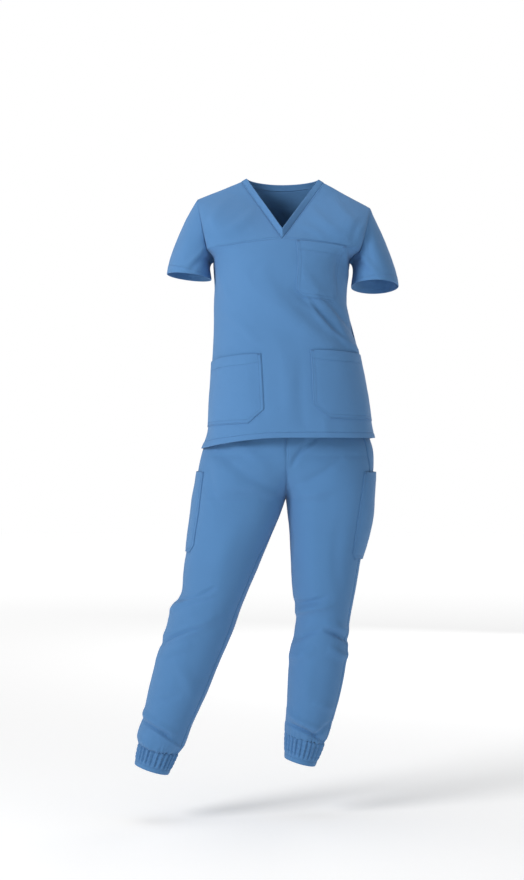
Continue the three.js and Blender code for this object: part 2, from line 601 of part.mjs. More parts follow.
// Normals shared by the panels that meet at a point, so that their edges face each other squarely. In the sharp
// fold of the underarm each panel keeps its own.
function sharedNormals(panels, foldsInward = () => false) {
  const own = panels.map(ownNormals);
  const sums = new Map();
  own.forEach((normals) =>
    normals.forEach((normal, key) => {
      if (!sums.has(key)) sums.set(key, new THREE.Vector3());
      sums.get(key).add(normal);
    }),
  );
  sums.forEach((sum) => sum.normalize());
  return (panel, at) => {
    const key = keyOf(at);
    const mine = own[panels.indexOf(panel)].get(key);
    const shared = sums.get(key);
    return foldsInward(at) && mine.dot(shared) < SHARP_FOLD ? mine : shared;
  };
}

// The points of a wall's edges drawn back from the seam line by half the seam gap.
function drawnBack(points, closed) {
  const rows = points.length;
  const columns = points[0].length;
  const pull = (at, towards) => towards.clone().sub(at).setLength(SEAM_GAP / 2);
  return points.map((row, i) =>
    row.map((at, j) => {
      const moved = at.clone();
      if (i === 0) moved.add(pull(at, points[1][j]));
      if (i === rows - 1) moved.add(pull(at, points[rows - 2][j]));
      if (!closed && j === 0) moved.add(pull(at, row[1]));
      if (!closed && j === columns - 1) moved.add(pull(at, row[columns - 2]));
      return moved;
    }),
  );
}

// A closed wall between an outer and an inner grid of points. Each cell is split along its shorter diagonal.
function wallGeometry(outer, inner, closed) {
  const rows = outer.length;
  const columns = closed ? outer[0].length - 1 : outer[0].length;
  const flat = [outer, inner].flatMap((side) => side.flatMap((row) => row.slice(0, columns)));
  const index = (side, i, j) => side * rows * columns + i * columns + (j % columns);
  const faces = [];
  const quad = (a, b, c, d) => faces.push(a, b, c, a, c, d);
  const cells = closed ? columns : columns - 1;
  for (let i = 0; i + 1 < rows; i++)
    for (let j = 0; j < cells; j++) {
      const next = (j + 1) % columns;
      const rising = outer[i][j].distanceTo(outer[i + 1][next]);
      const falling = outer[i][next].distanceTo(outer[i + 1][j]);
      const ring = [[i, j], [i, j + 1], [i + 1, j + 1], [i + 1, j]];
      const turned = rising <= falling ? ring : [...ring.slice(1), ring[0]];
      quad(...turned.map(([row, column]) => index(0, row, column)));
      quad(...[0, 3, 2, 1].map((k) => index(1, ...turned[k])));
    }
  for (let j = 0; j < cells; j++) {
    quad(index(0, 0, j), index(1, 0, j), index(1, 0, j + 1), index(0, 0, j + 1));
    quad(index(0, rows - 1, j), index(0, rows - 1, j + 1), index(1, rows - 1, j + 1), index(1, rows - 1, j));
  }
  if (!closed)
    for (let i = 0; i + 1 < rows; i++) {
      quad(index(0, i, 0), index(0, i + 1, 0), index(1, i + 1, 0), index(1, i, 0));
      quad(index(0, i, cells), index(1, i, cells), index(1, i + 1, cells), index(0, i + 1, cells));
    }
  const geometry = new THREE.BufferGeometry();
  geometry.setAttribute("position", new THREE.Float32BufferAttribute(flat.flatMap((at) => [at.x, at.y, at.z]), 3));
  geometry.setIndex(faces);
  geometry.computeVertexNormals();
  return geometry;
}

function panelMesh(panel, normalAt, material) {
  const { name, points, closed, thickness } = panel;
  const outer = drawnBack(points, closed);
  const inner = outer.map((row, i) =>
    row.map((at, j) => at.clone().addScaledVector(normalAt(panel, points[i][j]), -thickness)),
  );
  const mesh = new THREE.Mesh(wallGeometry(outer, inner, closed), material);
  mesh.name = name;
  return mesh;
}

// Pockets. Each lies on the facets of the panel under it, whose columns and rows are counted in cells.
function facets(points) {
  const normals = ownNormals({ points });
  const blend = (value, column, row) => {
    const i = clamp(Math.floor(row), 0, points.length - 2);
    const j = clamp(Math.floor(column), 0, points[0].length - 2);
    const along = (k) => mixPoints(value(points[k][j]), value(points[k][j + 1]), column - j);
    return mixPoints(along(i), along(i + 1), row - i);
  };
  return {
    rows: points.length - 1,
    columns: points[0].length - 1,
    at: (column, row) => blend((corner) => corner, column, row),
    normal: (column, row) => blend((corner) => normals.get(keyOf(corner)), column, row).normalize(),
  };
}

function bisect(low, high, isBelow) {
  for (let i = 0; i < 40; i++) {
    const middle = (low + high) / 2;
    if (isBelow(middle)) low = middle;
    else high = middle;
  }
  return (low + high) / 2;
}

const rowOfHeight = (surface, columnAt, z) =>
  bisect(0, surface.rows, (row) => surface.at(columnAt(row), row).z < z);

const columnOfPlace = (surface, x, z) =>
  bisect(0, surface.columns, (column) => surface.at(column, rowOfHeight(surface, () => column, z)).x < x);

// The panel's own columns between two places, leaving out those too near to either.
const wholeColumns = (from, to) =>
  steps(Math.ceil(to - from)).map((_, i) => Math.ceil(from) + i).filter((c) => c > from + 0.25 && c < to - 0.25);

// A patch sewn to a panel. Each of its lines runs up the panel between two heights, and the patch follows the
// panel's own rows in between.
function patch(name, surface, lines, gape, material) {
  const spans = lines.map(({ columnAt, zBottom, zTop }) => ({
    columnAt,
    bottom: rowOfHeight(surface, columnAt, zBottom),
    top: rowOfHeight(surface, columnAt, zTop),
  }));
  const lowest = Math.ceil(Math.max(...spans.map((span) => span.bottom)) + 0.15);
  const highest = Math.floor(Math.min(...spans.map((span) => span.top)) - 0.15);
  const count = highest - lowest + 2;
  const layer = (extra) =>
    steps(count).map((_, k) =>
      spans.map(({ columnAt, bottom, top }, line) => {
        const row = k === 0 ? bottom : k === count ? top : lowest + k - 1;
        const lift = POCKET_LIFT + extra + gape(line / (spans.length - 1), (row - bottom) / (top - bottom));
        const column = columnAt(row);
        return surface.at(column, row).addScaledVector(surface.normal(column, row), lift);
      }),
    );
  const mesh = new THREE.Mesh(wallGeometry(layer(CLOTH), layer(0), false), material);
  mesh.name = name;
  return mesh;
}

function lowerPocket(side, surface) {
  const pocket = LOWER_POCKETS[side];
  const isRight = side === "right";
  const inwards = isRight ? 1 : -1;
  const innerTop = columnOfPlace(surface, pocket.xMouth, pocket.zMouthInner);
  const innerBottom = columnOfPlace(surface, pocket.xBottom, pocket.zBottomInner);
  const corner = columnOfPlace(surface, pocket.xBottom - inwards * LOWER_POCKET_CORNER.width, pocket.zBottomInner);
  const seam = isRight ? 0.12 : surface.columns - 0.12;
  const whole = isRight ? wholeColumns(seam, corner) : wholeColumns(corner, seam);
  const columns = isRight ? [seam, ...whole, corner] : [corner, ...whole, seam];
  const lines = columns.map((column) => {
    const share = (column - corner) / (seam - corner); // 0 near the inner edge, 1 at the side seam
    const zBottom = mix(pocket.zBottomInner, pocket.zBottomSide, share);
    return { columnAt: () => column, zBottom, zTop: mix(pocket.zMouthInner, pocket.zMouthSide, share ** 1.4) };
  });
  const slant = (row) => {
    const z = surface.at(corner, row).z;
    return mix(innerBottom, innerTop, (z - pocket.zBottomInner) / (pocket.zMouthInner - pocket.zBottomInner));
  };
  const zBottom = pocket.zBottomInner + LOWER_POCKET_CORNER.height;
  const inner = { columnAt: slant, zBottom, zTop: pocket.zMouthInner };
  const gape = (across, up) => POCKET_GAPE * Math.sin(Math.PI * across) * up ** 3;
  return patch(`pocket_${side}`, surface, isRight ? [...lines, inner] : [inner, ...lines], gape, TUNIC_CLOTH);
}

function chestPocket(surface) {
  const pocket = CHEST_POCKET;
  const from = columnOfPlace(surface, pocket.xInner, pocket.zTopInner - pocket.drop / 2);
  const to = columnOfPlace(surface, pocket.xOuter, pocket.zTopInner - pocket.drop / 2);
  const corner = (to - from) * 0.13;
  const columns = [from, from + corner, ...wholeColumns(from + corner, to - corner), to - corner, to];
  const lines = columns.map((column) => {
    const share = (column - from) / (to - from);
    const zTop = mix(pocket.zTopInner, pocket.zTopOuter, share);
    const isCorner = column === from || column === to;
    return { columnAt: () => column, zTop, zBottom: zTop - pocket.drop + (isCorner ? pocket.corner : 0) };
  });
  const gape = (across, up) => 2 * Math.sin(Math.PI * across) * up ** 3;
  return patch("pocket_chest", surface, lines, gape, TUNIC_CLOTH);
}

// A cargo pocket lies across the side seam, on the front and the back panel together.
function cargoPocket(side, front, back) {
  const pocket = CARGO_POCKETS[side];
  const [first, second] = side === "right" ? [back, front] : [front, back];
  const surface = facets(first.points.map((row, i) => [...row, ...second.points[i].slice(1)]));
  const seam = CELLS.panel;
  const [before, after] = side === "right" ? [pocket.backward, pocket.forward] : [pocket.forward, pocket.backward];
  const from = seam - before;
  const to = seam + after;
  const corner = 0.45;
  const columns = [from, from + corner, ...wholeColumns(from + corner, to - corner), to - corner, to];
  const lines = columns.map((column) => {
    const isCorner = column === from || column === to;
    return { columnAt: () => column, zTop: pocket.zTop, zBottom: pocket.zBottom + (isCorner ? CARGO_CORNER : 0) };
  });
  const gape = (across, up) =>
    CARGO_GAPE[side] * Math.sin(Math.PI * across) * Math.sin((up * 0.75 + 0.1) * Math.PI);
  return patch(`cargo_pocket_${side}`, surface, lines, gape, TROUSER_CLOTH);
}

// Assembly
const scrubs = new THREE.Group();
const tunic = new THREE.Group();
const trousers = new THREE.Group();
scrubs.add(tunic, trousers);

const tunicPanels = tunicGrids();
const tunicNormal = sharedNormals(tunicPanels, (at) => at.z < ARMPIT_TOP);
tunicPanels.forEach((panel) => tunic.add(panelMesh(panel, tunicNormal, TUNIC_CLOTH)));
const frontSurface = facets(tunicPanels[0].points);
tunic.add(chestPocket(frontSurface), lowerPocket("right", frontSurface), lowerPocket("left", frontSurface));

const trouserPanels = ["right", "left"].flatMap((side) => [trouserPanel(side, "front"), trouserPanel(side, "back")]);
trouserPanels.push(waistband());
const trouserNormal = sharedNormals(trouserPanels);
trouserPanels.forEach((panel) => trousers.add(panelMesh(panel, trouserNormal, TROUSER_CLOTH)));
["right", "left"].forEach((side, i) => {
  const cuff = ankleCuff(side);
  const [front, back] = trouserPanels.slice(2 * i, 2 * i + 2);
  trousers.add(panelMesh(cuff, sharedNormals([cuff]), TROUSER_CLOTH), cargoPocket(side, front, back));
});

export default scrubs;
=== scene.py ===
# Medical scrubs, standing as they are worn: a V-neck tunic with short sleeves over jogger trousers.
# Metres, +Z up, the front towards -Y. "right" and "left" are the wearer's. The tables are in millimetres.

import bisect
import math
import random

import bmesh
import bpy
from mathutils import Matrix, Vector, noise


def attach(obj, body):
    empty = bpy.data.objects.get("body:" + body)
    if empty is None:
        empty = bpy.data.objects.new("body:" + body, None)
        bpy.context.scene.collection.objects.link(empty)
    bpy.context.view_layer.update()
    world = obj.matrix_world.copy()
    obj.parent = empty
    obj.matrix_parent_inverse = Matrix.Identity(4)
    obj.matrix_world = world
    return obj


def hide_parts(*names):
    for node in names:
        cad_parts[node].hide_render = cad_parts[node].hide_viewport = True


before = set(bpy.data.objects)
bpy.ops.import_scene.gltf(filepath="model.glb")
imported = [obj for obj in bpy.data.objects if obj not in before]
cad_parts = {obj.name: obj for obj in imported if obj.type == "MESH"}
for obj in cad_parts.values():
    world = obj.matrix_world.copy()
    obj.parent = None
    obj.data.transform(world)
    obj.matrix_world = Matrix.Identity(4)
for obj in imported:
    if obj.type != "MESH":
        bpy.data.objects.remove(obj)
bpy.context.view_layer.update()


# Shader nodes
# Two helpers that add a node to a material or to the world, and set the values of a node's inputs.
def set_inputs(node, values):
    for socket, value in values.items():
        node.inputs[socket].default_value = value


def add_node(tree, kind, values=None):
    node = tree.nodes.new("ShaderNode" + kind)
    set_inputs(node, values or {})
    return node


# Studio
# A white floor that glows a little far from the garments, one large soft light from the front left, a weaker
# fill, and a long lens at hip height. The wall is white to the camera, and the light that it gives is weaker.
camera_data = bpy.data.cameras.new("studio_camera")
camera_data.lens = 81.8
camera_data.sensor_width = 36
camera = bpy.data.objects.new("studio_camera", camera_data)
camera.location = (-0.0495, -4.5, -0.540)
camera.rotation_euler = (math.radians(90), 0, 0)
bpy.context.scene.collection.objects.link(camera)
bpy.context.scene.camera = camera
bpy.context.scene.view_settings.view_transform = "Standard"

FLOOR_Z = -1.392
floor_mesh = bmesh.new()
bmesh.ops.create_grid(floor_mesh, x_segments=1, y_segments=1, size=14)
bmesh.ops.translate(floor_mesh, verts=floor_mesh.verts, vec=(0, 0, FLOOR_Z))
floor_data = bpy.data.meshes.new("studio_floor")
floor_mesh.to_mesh(floor_data)
floor_mesh.free()
studio_floor = bpy.data.objects.new("studio_floor", floor_data)
bpy.context.scene.collection.objects.link(studio_floor)
floor_paint = bpy.data.materials.new("studio_white")
floor_paint.use_nodes = True
floor_tree = floor_paint.node_tree
floor_shader = floor_tree.nodes["Principled BSDF"]
set_inputs(floor_shader, {"Base Color": (0.93, 0.93, 0.93, 1), "Roughness": 0.9})
floor_spot = add_node(floor_tree, "TexCoord")
floor_reach = add_node(floor_tree, "VectorMath")
floor_reach.operation = "LENGTH"
far_light = add_node(floor_tree, "MapRange", {"From Min": -2.0, "From Max": 8.0, "To Max": 0.66})
far_light.interpolation_type = "SMOOTHSTEP"
floor_tree.links.new(floor_spot.outputs["Object"], floor_reach.inputs[0])
floor_tree.links.new(floor_reach.outputs["Value"], far_light.inputs["Value"])
floor_tree.links.new(far_light.outputs["Result"], floor_shader.inputs["Emission Strength"])
floor_data.materials.append(floor_paint)

LIGHTS = [
    # name, place, size, watts
    ("key", (-2.9, -2.6, 1.2), 1.6, 104),
    ("fill", (2.6, -3.6, -0.2), 2.6, 9),
    ("top", (-0.3, -0.2, 2.6), 2.0, 22),
    ("back", (1.7, 3.6, 0.4), 3.0, 45),
]
for light_name, place, size, watts in LIGHTS:
    light_data = bpy.data.lights.new(light_name, "AREA")
    light_data.shape = "DISK"
    light_data.size = size
    light_data.energy = watts
    light = bpy.data.objects.new(light_name, light_data)
    light.location = place
    light.rotation_euler = (Vector((0, 0, -0.6)) - Vector(place)).to_track_quat("-Z", "Y").to_euler()
    bpy.context.scene.collection.objects.link(light)
world = bpy.data.worlds.new("studio_air")
world.use_nodes = True
air = world.node_tree
room_light = air.nodes["Background"]
set_inputs(room_light, {"Strength": 0.36, "Color": (1, 1, 1, 1)})
white_wall = add_node(air, "Background", {"Strength": 1.0, "Color": (1, 1, 1, 1)})
seen = add_node(air, "LightPath")
wall_or_light = add_node(air, "MixShader")
air.links.new(seen.outputs["Is Camera Ray"], wall_or_light.inputs["Fac"])
air.links.new(room_light.outputs["Background"], wall_or_light.inputs[1])
air.links.new(white_wall.outputs["Background"], wall_or_light.inputs[2])
air.links.new(wall_or_light.outputs["Shader"], air.nodes["World Output"].inputs["Surface"])
bpy.context.scene.world = world


# Scrub cloth
# Ceil-blue poly-viscose twill, matte with a short soft nap. Its diagonal weave follows each panel's own UV
# map, which is in metres, and broad faint patches vary the dye.
def scrub_cloth(name, colour):
    cloth = bpy.data.materials.new(name)
    cloth.use_nodes = True
    tree, links = cloth.node_tree, cloth.node_tree.links
    shader = tree.nodes["Principled BSDF"]
    set_inputs(shader, {"Roughness": 0.86, "Specular IOR Level": 0.25})
    set_inputs(shader, {"Sheen Weight": 0.14, "Sheen Roughness": 0.55, "Sheen Tint": (0.75, 0.87, 1.0, 1)})
    thread_map = add_node(tree, "UVMap")
    thread_map.uv_map = "cloth"
    twill = add_node(tree, "TexWave", {"Scale": 900, "Distortion": 1.2, "Detail": 1})
    twill.bands_direction = "DIAGONAL"
    links.new(thread_map.outputs["UV"], twill.inputs["Vector"])
    slub = add_node(tree, "TexNoise", {"Scale": 900, "Detail": 3})
    links.new(thread_map.outputs["UV"], slub.inputs["Vector"])
    place = add_node(tree, "TexCoord")
    dye = add_node(tree, "TexNoise", {"Scale": 7, "Detail": 4})
    links.new(place.outputs["Object"], dye.inputs["Vector"])
    shade = add_node(tree, "Mix")
    shade.data_type = "RGBA"
    darker, lighter = [part * 0.96 for part in colour], [part * 1.04 for part in colour]
    set_inputs(shade, {"A": (*darker, 1), "B": (*lighter, 1)})
    links.new(dye.outputs["Fac"], shade.inputs["Factor"])
    grain = add_node(tree, "Mix")
    grain.data_type = "RGBA"
    grain.blend_type = "MULTIPLY"
    set_inputs(grain, {"Factor": 0.16})
    links.new(shade.outputs["Result"], grain.inputs["A"])
    links.new(slub.outputs["Fac"], grain.inputs["B"])
    links.new(grain.outputs["Result"], shader.inputs["Base Color"])
    ribs = add_node(tree, "Bump", {"Strength": 0.3, "Distance": 0.0003})
    links.new(twill.outputs["Fac"], ribs.inputs["Height"])
    nap = add_node(tree, "Bump", {"Strength": 0.25, "Distance": 0.0004})
    links.new(slub.outputs["Fac"], nap.inputs["Height"])
    links.new(ribs.outputs["Normal"], nap.inputs["Normal"])
    links.new(nap.outputs["Normal"], shader.inputs["Normal"])
    return cloth


tunic_cloth = scrub_cloth("tunic_cloth", (0.088, 0.232, 0.475))
trouser_cloth = scrub_cloth("trouser_cloth", (0.082, 0.222, 0.458))
thread = bpy.data.materials.new("sewing_thread")
thread.use_nodes = True
thread_tree = thread.node_tree
thread_shader = thread_tree.nodes["Principled BSDF"]
set_inputs(thread_shader, {"Roughness": 0.6})
thread_twist = add_node(thread_tree, "TexNoise", {"Scale": 1400})
thread_ramp = add_node(thread_tree, "ValToRGB")
thread_ramp.color_ramp.elements[0].color = (0.048, 0.142, 0.31, 1)
thread_ramp.color_ramp.elements[1].color = (0.078, 0.205, 0.42, 1)
thread_where = add_node(thread_tree, "TexCoord")
thread_tree.links.new(thread_where.outputs["Object"], thread_twist.inputs["Vector"])
thread_tree.links.new(thread_twist.outputs["Fac"], thread_ramp.inputs["Fac"])
thread_tree.links.new(thread_ramp.outputs["Color"], thread_shader.inputs["Base Color"])


# Tunic front
# One panel from the hem up to the seam across the chest. It hangs from the shoulders and drags in long soft
# folds from the chest towards the left hip. Its turned hem is stitched 12 mm above the edge.
TUNIC_SECTIONS = [
    # zFront, zBack, zRight, zLeft, xRight, xLeft, yFront, yBack
    (-535, -552, -559, -535, -186, 205, -140, 132),
    (-505, -515, -520, -506, -172, 198, -138, 129),
    (-436, -440, -440, -437, -167, 187, -132, 121),
    (-364, -366, -366, -364, -162, 173, -125, 108),
    (-296, -296, -296, -292, -158, 155, -121, 99),
    (-240, -236, -238, -236, -158, 141, -123, 98),
    (-190, -184, -188, -188, -156, 141, -125, 101),
    (-146, -146, -140, -142, -158, 147, -121, 105),
]
UNDERARM = len(TUNIC_SECTIONS) - 1
V_POINT = Vector((-5, -106, -97))
CLOTH = 1.4
TUNIC_HEM = 12
TUNIC_POWER = 2.35
ARMHOLE_CALM = 9
SIGN = {"right": -1, "left": 1}


def mix(a, b, share):
    return a + (b - a) * share


def clamp(value, low=0.0, high=1.0):
    return min(max(value, low), high)


def smooth(value):
    value = clamp(value)
    return value * value * (3 - 2 * value)


def hermite(start, start_slope, end, end_slope, share):
    s2 = share * share
    s3 = s2 * share
    return (
        start * (2 * s3 - 3 * s2 + 1)
        + start_slope * (s3 - 2 * s2 + share)
        + end * (3 * s2 - 2 * s3)
        + end_slope * (s3 - s2)
    )


def tunic_row(row, turn):
    z_front, z_back, z_right, z_left, x_right, x_left, y_front, y_back = TUNIC_SECTIONS[row]
    sine, cosine = math.sin(turn), math.cos(turn)
    reach = abs(sine) ** (2 / TUNIC_POWER)
    x = mix((x_right + x_left) / 2, x_right if sine < 0 else x_left, reach)
    y = mix(4, y_front if cosine >= 0 else y_back, abs(cosine) ** (2 / TUNIC_POWER))
    z = mix(z_front if cosine >= 0 else z_back, z_right if sine < 0 else z_left, reach * reach)
    return Vector((x, y, z))


def chest_seam(across):
    turn = across * math.pi / 2
    reach = abs(math.sin(turn))
    x = mix(V_POINT.x, -171 if across < 0 else 169, reach)
    y = mix(-44, -106, max(math.cos(turn), 0) ** 0.9)
    return Vector((x, y, mix(-97, -117, reach**1.3)))


def column_point(row_point, row_count, across, place, top_slope=None):
    last = row_count - 1
    i = min(int(place), last - 1)

    def slope(row):
        if row == 0:
            return row_point(1) - row_point(0)
        if row == last:
            straight = row_point(last) - row_point(last - 1)
            return top_slope(straight) if top_slope else straight
        if row == UNDERARM:
            free = (row_point(row + 1) - row_point(row - 1)) * 0.5
            held = row_point(row) - row_point(row - 1)
            return mix(free, held, abs(across) ** 4)
        return (row_point(row + 1) - row_point(row - 1)) * 0.5

    return hermite(row_point(i), slope(i), row_point(i + 1), slope(i + 1), place - i)


def front_point(across, place):
    turn = across * math.pi / 2

    def row_point(row):
        return tunic_row(row, turn) if row <= UNDERARM else chest_seam(across)

    return column_point(row_point, UNDERARM + 2, across, place)


def fold_height(folds, x, z):
    height = 0.0
    for x1, z1, x2, z2, width, rise, sharp in folds:
        dx, dz = x2 - x1, z2 - z1
        length = math.hypot(dx, dz)
        share = ((x - x1) * dx + (z - z1) * dz) / length / length
        if share <= 0 or share >= 1:
            continue
        aside = ((x - x1) * dz - (z - z1) * dx) / length
        # bow the fold a little, and let it fall away faster on one side
        aside += 0.06 * length * math.sin(math.pi * share) * (1 if sharp > 0 else -1)
        reach = width * (1 - abs(sharp) if aside * sharp > 0 else 1)
        height += rise * math.sin(math.pi * share) ** 0.8 * math.exp(-((aside / reach) ** 2))
    return height


laid_out = {}


def cut_cloth(
    name, columns, rows, place, folds=((), ()), relief=None, closed=False, inward=CLOTH, calm=None
):
    """Maps a fine grid onto a panel's form, presses its folds and seams in, and gives it its thickness."""
    cloth = bmesh.new()
    uv = cloth.loops.layers.uv.new("cloth")
    bmesh.ops.create_grid(cloth, x_segments=len(columns) - 1, y_segments=len(rows) - 1, size=0.5)
    spots = {}
    for vert in cloth.verts:
        i = round((vert.co.x + 0.5) * (len(columns) - 1))
        j = round((vert.co.y + 0.5) * (len(rows) - 1))
        spots[vert] = (i, j)
        vert.co = place(columns[i], rows[j])
    at = {spot: vert.co.copy() for vert, spot in spots.items()}
    middle_row, middle_column = len(rows) // 2, len(columns) // 2
    us, vs = [0.0], [0.0]
    for i in range(1, len(columns)):
        us.append(us[-1] + (at[i, middle_row] - at[i - 1, middle_row]).length / 1000)
    for j in range(1, len(rows)):
        vs.append(vs[-1] + (at[middle_column, j] - at[middle_column, j - 1]).length / 1000)
    for face in cloth.faces:
        for loop in face.loops:
            i, j = spots[loop.vert]
            loop[uv].uv = (us[i], vs[j])
    cloth.normal_update()
    moves = {}
    for vert, (i, j) in spots.items():
        normal = vert.normal
        lift = 0.7 * noise.noise(vert.co * 0.019) + 0.25 * noise.noise(vert.co * 0.06)
        if normal.y < 0.5:
            lift += fold_height(folds[0], vert.co.x, vert.co.z) * smooth((0.5 - normal.y) / 0.9)
        if normal.y > -0.5:
            lift += fold_height(folds[1], vert.co.x, vert.co.z) * smooth((0.5 + normal.y) / 0.9)
        edges = [d * 1000 for d in (us[i], us[-1] - us[i], vs[j], vs[-1] - vs[j])]
        if calm:
            lift *= calm(*edges, vert.co)
        if relief:
            lift += relief(*edges, vert.co)
        moves[vert] = normal * lift
    for vert, move in moves.items():
        vert.co = (vert.co + move) * 0.001
    laid_out[name] = (us, vs, {spot: vert.co.copy() for vert, spot in spots.items()})
    if closed:
        bmesh.ops.remove_doubles(cloth, verts=cloth.verts, dist=0.00004)
    for face in cloth.faces:
        face.smooth = True
    data = bpy.data.meshes.new(name)
    cloth.to_mesh(data)
    cloth.free()
    piece = bpy.data.objects.new(name, data)
    bpy.context.scene.collection.objects.link(piece)
    wall = piece.modifiers.new("cloth_thickness", "SOLIDIFY")
    wall.thickness = inward * 0.001
    wall.offset = -1
    wall.use_even_offset = False
    return piece


def spread(start, end, count, crowd=0.55):
    """Places between two ends, closer together near them, where the seams are."""
    shares = [i / count for i in range(count + 1)]
    return [mix(start, end, mix(s, 0.5 - 0.5 * math.cos(math.pi * s), crowd)) for s in shares]


def seam_dip(distance):
    return -1.1 * math.exp(-((distance / 2.2) ** 2))


def hem_step(distance, depth):
    return 0.35 * smooth((depth - distance) / 1.6) - 0.5 * math.exp(-(((distance - depth) / 1.3) ** 2))


def cloth_spot(name, u, v):
    """A place on a laid-out panel and the way out of it. Below zero, a distance counts from the far edge."""
    us, vs, spots = laid_out[name]
    places = []
    for value, marks in ((u, us), (v, vs)):
        value = clamp(value / 1000 + (marks[-1] if value < 0 else 0), marks[0], marks[-1])
        i = min(max(bisect.bisect_right(marks, value) - 1, 0), len(marks) - 2)
        places.append((i, (value - marks[i]) / (marks[i + 1] - marks[i])))
    (i, a), (j, b) = places
    low = mix(spots[i, j], spots[i + 1, j], a)
    high = mix(spots[i, j + 1], spots[i + 1, j + 1], a)
    out = (spots[i + 1, j] - spots[i, j]).cross(spots[i, j + 1] - spots[i, j]).normalized()
    return mix(low, high, b), out


THREAD_RADIUS = 0.0004
STITCH_LENGTH = 0.0024
STITCH_PITCH = 0.0034


def sew(name, seams, tacks=()):
    """Lays rows of lockstitches along seams, and bar tacks at their ends, all in one piece of thread."""
    sewing = bmesh.new()
    us, vs, _ = laid_out[name]

    def stitch(start, end, out):
        along = (end - start).normalized()
        across = out.cross(along).normalized()
        turn = Matrix((across, along.cross(across), along)).transposed().to_4x4()
        turn.translation = (start + end) / 2 + out * 0.00012
        bmesh.ops.create_cone(
            sewing, cap_ends=True, segments=4, radius1=THREAD_RADIUS, radius2=THREAD_RADIUS,
            depth=(end - start).length, matrix=turn,
        )

    for seam in seams:
        path = []
        for (u0, v0), (u1, v1) in zip(seam, seam[1:]):
            u0, u1 = [u + (us[-1] * 1000 if u < 0 else 0) for u in (u0, u1)]
            v0, v1 = [v + (vs[-1] * 1000 if v < 0 else 0) for v in (v0, v1)]
            count = max(int(math.hypot(u1 - u0, v1 - v0) / 1.1), 1)
            shares = [k / count for k in range(count + 1)]
            path += [cloth_spot(name, mix(u0, u1, share), mix(v0, v1, share)) for share in shares]
        gone, start = 0.0, path[0][0]
        for (last, _), (here, out) in zip(path, path[1:]):
            gone += (here - last).length
            if gone >= STITCH_LENGTH and start:
                stitch(start, here, out)
                start = None
            elif gone >= STITCH_PITCH:
                gone, start = 0.0, here
    for u, v in tacks:
        for k in range(9):
            beside = u + (k - 4) * 0.75
            (start, out), (end, _) = [cloth_spot(name, beside, v + half) for half in (-1.6, 1.6)]
            if (end - start).length > 0.001:
                stitch(start, end, out)
    data = bpy.data.meshes.new(name + "_stitches")
    sewing.to_mesh(data)
    sewing.free()
    stitches = bpy.data.objects.new(name + "_stitches", data)
    bpy.context.scene.collection.objects.link(stitches)
    stitches.data.materials.append(thread)
    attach(stitches, "root")


TUNIC_FRONT_FOLDS = [
    # x1, z1, x2, z2, width, height, sharpness
    (-60, -165, 120, -345, 26, 7.5, -0.3),
    (-110, -150, 30, -290, 24, 4.5, -0.2),
    (10, -205, 138, -340, 11, -7.5, 0.2),
    (44, -222, 170, -346, 8, 8.5, -0.4),
    (72, -216, 178, -334, 9, -7.5, 0.3),
    (110, -262, 176, -352, 6, 3.0, 0.0),
    (30, -150, 128, -262, 16, 3.0, -0.3),
    (130, -104, 138, -235, 8, 4.5, 0.3),
    (118, -118, 126, -225, 8, -3.4, 0.0),
    (146, -112, 158, -190, 6, -4.0, 0.0),
    (-182, -100, -158, -146, 6, -4.0, 0.0),
    (-168, -118, -146, -205, 8, -3.4, 0.0),
    (-150, -120, -120, -235, 12, 3.0, -0.3),
    (-152, -250, -60, -330, 13, 2.6, 0.4),
    (-60, -330, -38, -520, 15, -2.6, 0.0),
    (-20, -300, 6, -525, 22, 3.2, 0.2),
    (40, -352, 48, -530, 12, -2.2, 0.0),
    (-150, -440, -146, -556, 12, 2.6, 0.0),
    (180, -430, 190, -532, 10, 2.4, 0.0),
    (90, -480, 96, -535, 14, 2.2, 0.0),
]


def side_dip(from_right, from_left, at):
    """The side seams sink in, and fade out up the armholes, where the sleeves are set in."""
    return mix(1, 0.2, smooth((at.z + 122) / 16)) * (seam_dip(from_right) + seam_dip(from_left))


def calm_at_armholes(from_right, from_left, from_hem, from_top, at):
    """Nothing creases where a sleeve is set in, so that the seam stays closed."""
    return mix(1, smooth(min(from_right, from_left) / ARMHOLE_CALM), smooth((at.z + 122) / 16))


def front_relief(from_right, from_left, from_hem, from_top, at):
    return side_dip(from_right, from_left, at) + 0.6 * seam_dip(from_top) + hem_step(from_hem, TUNIC_HEM)


tunic_front = cut_cloth(
    "tunic_front",
    spread(-1, 1, 130, 0.2),
    spread(0, UNDERARM + 1, 125, 0.35),
    front_point,
    folds=(TUNIC_FRONT_FOLDS, ()),
    relief=front_relief,
    calm=calm_at_armholes,
)
tunic_front.data.materials.append(tunic_cloth)
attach(tunic_front, "root")
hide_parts("front")
sew("tunic_front", [[(2, TUNIC_HEM), (-2, TUNIC_HEM)]])

# Yokes
# Two front yokes run from the seam across the chest and the edge of the V up over the shoulders. They are
# lapped onto the front, and each lies smooth over the collar bone.
SHOULDERS = {
    "right": {
        "neck": Vector((-96, 21, 44)), "neck_inner": Vector((-84, 20, 51)), "tip": Vector((-195, 8, 2)),
    },
    "left": {
        "neck": Vector((90, 21, 42)), "neck_inner": Vector((78, 20, 49)), "tip": Vector((194.5, 8, -17.5)),
    },
}
NECK_SHARE = 0.318


def shoulder_seam(side, share):
    start = math.sin(NECK_SHARE * math.pi / 2)
    here = math.sin(mix(NECK_SHARE, 1, share) * math.pi / 2)
    return mix(SHOULDERS[side]["neck"], SHOULDERS[side]["tip"], (here - start) / (1 - start))


def shoulder_slope(straight, backward, share):
    return mix(straight, Vector((0, backward * 52, 9)), clamp(0.35 + 1.6 * share))


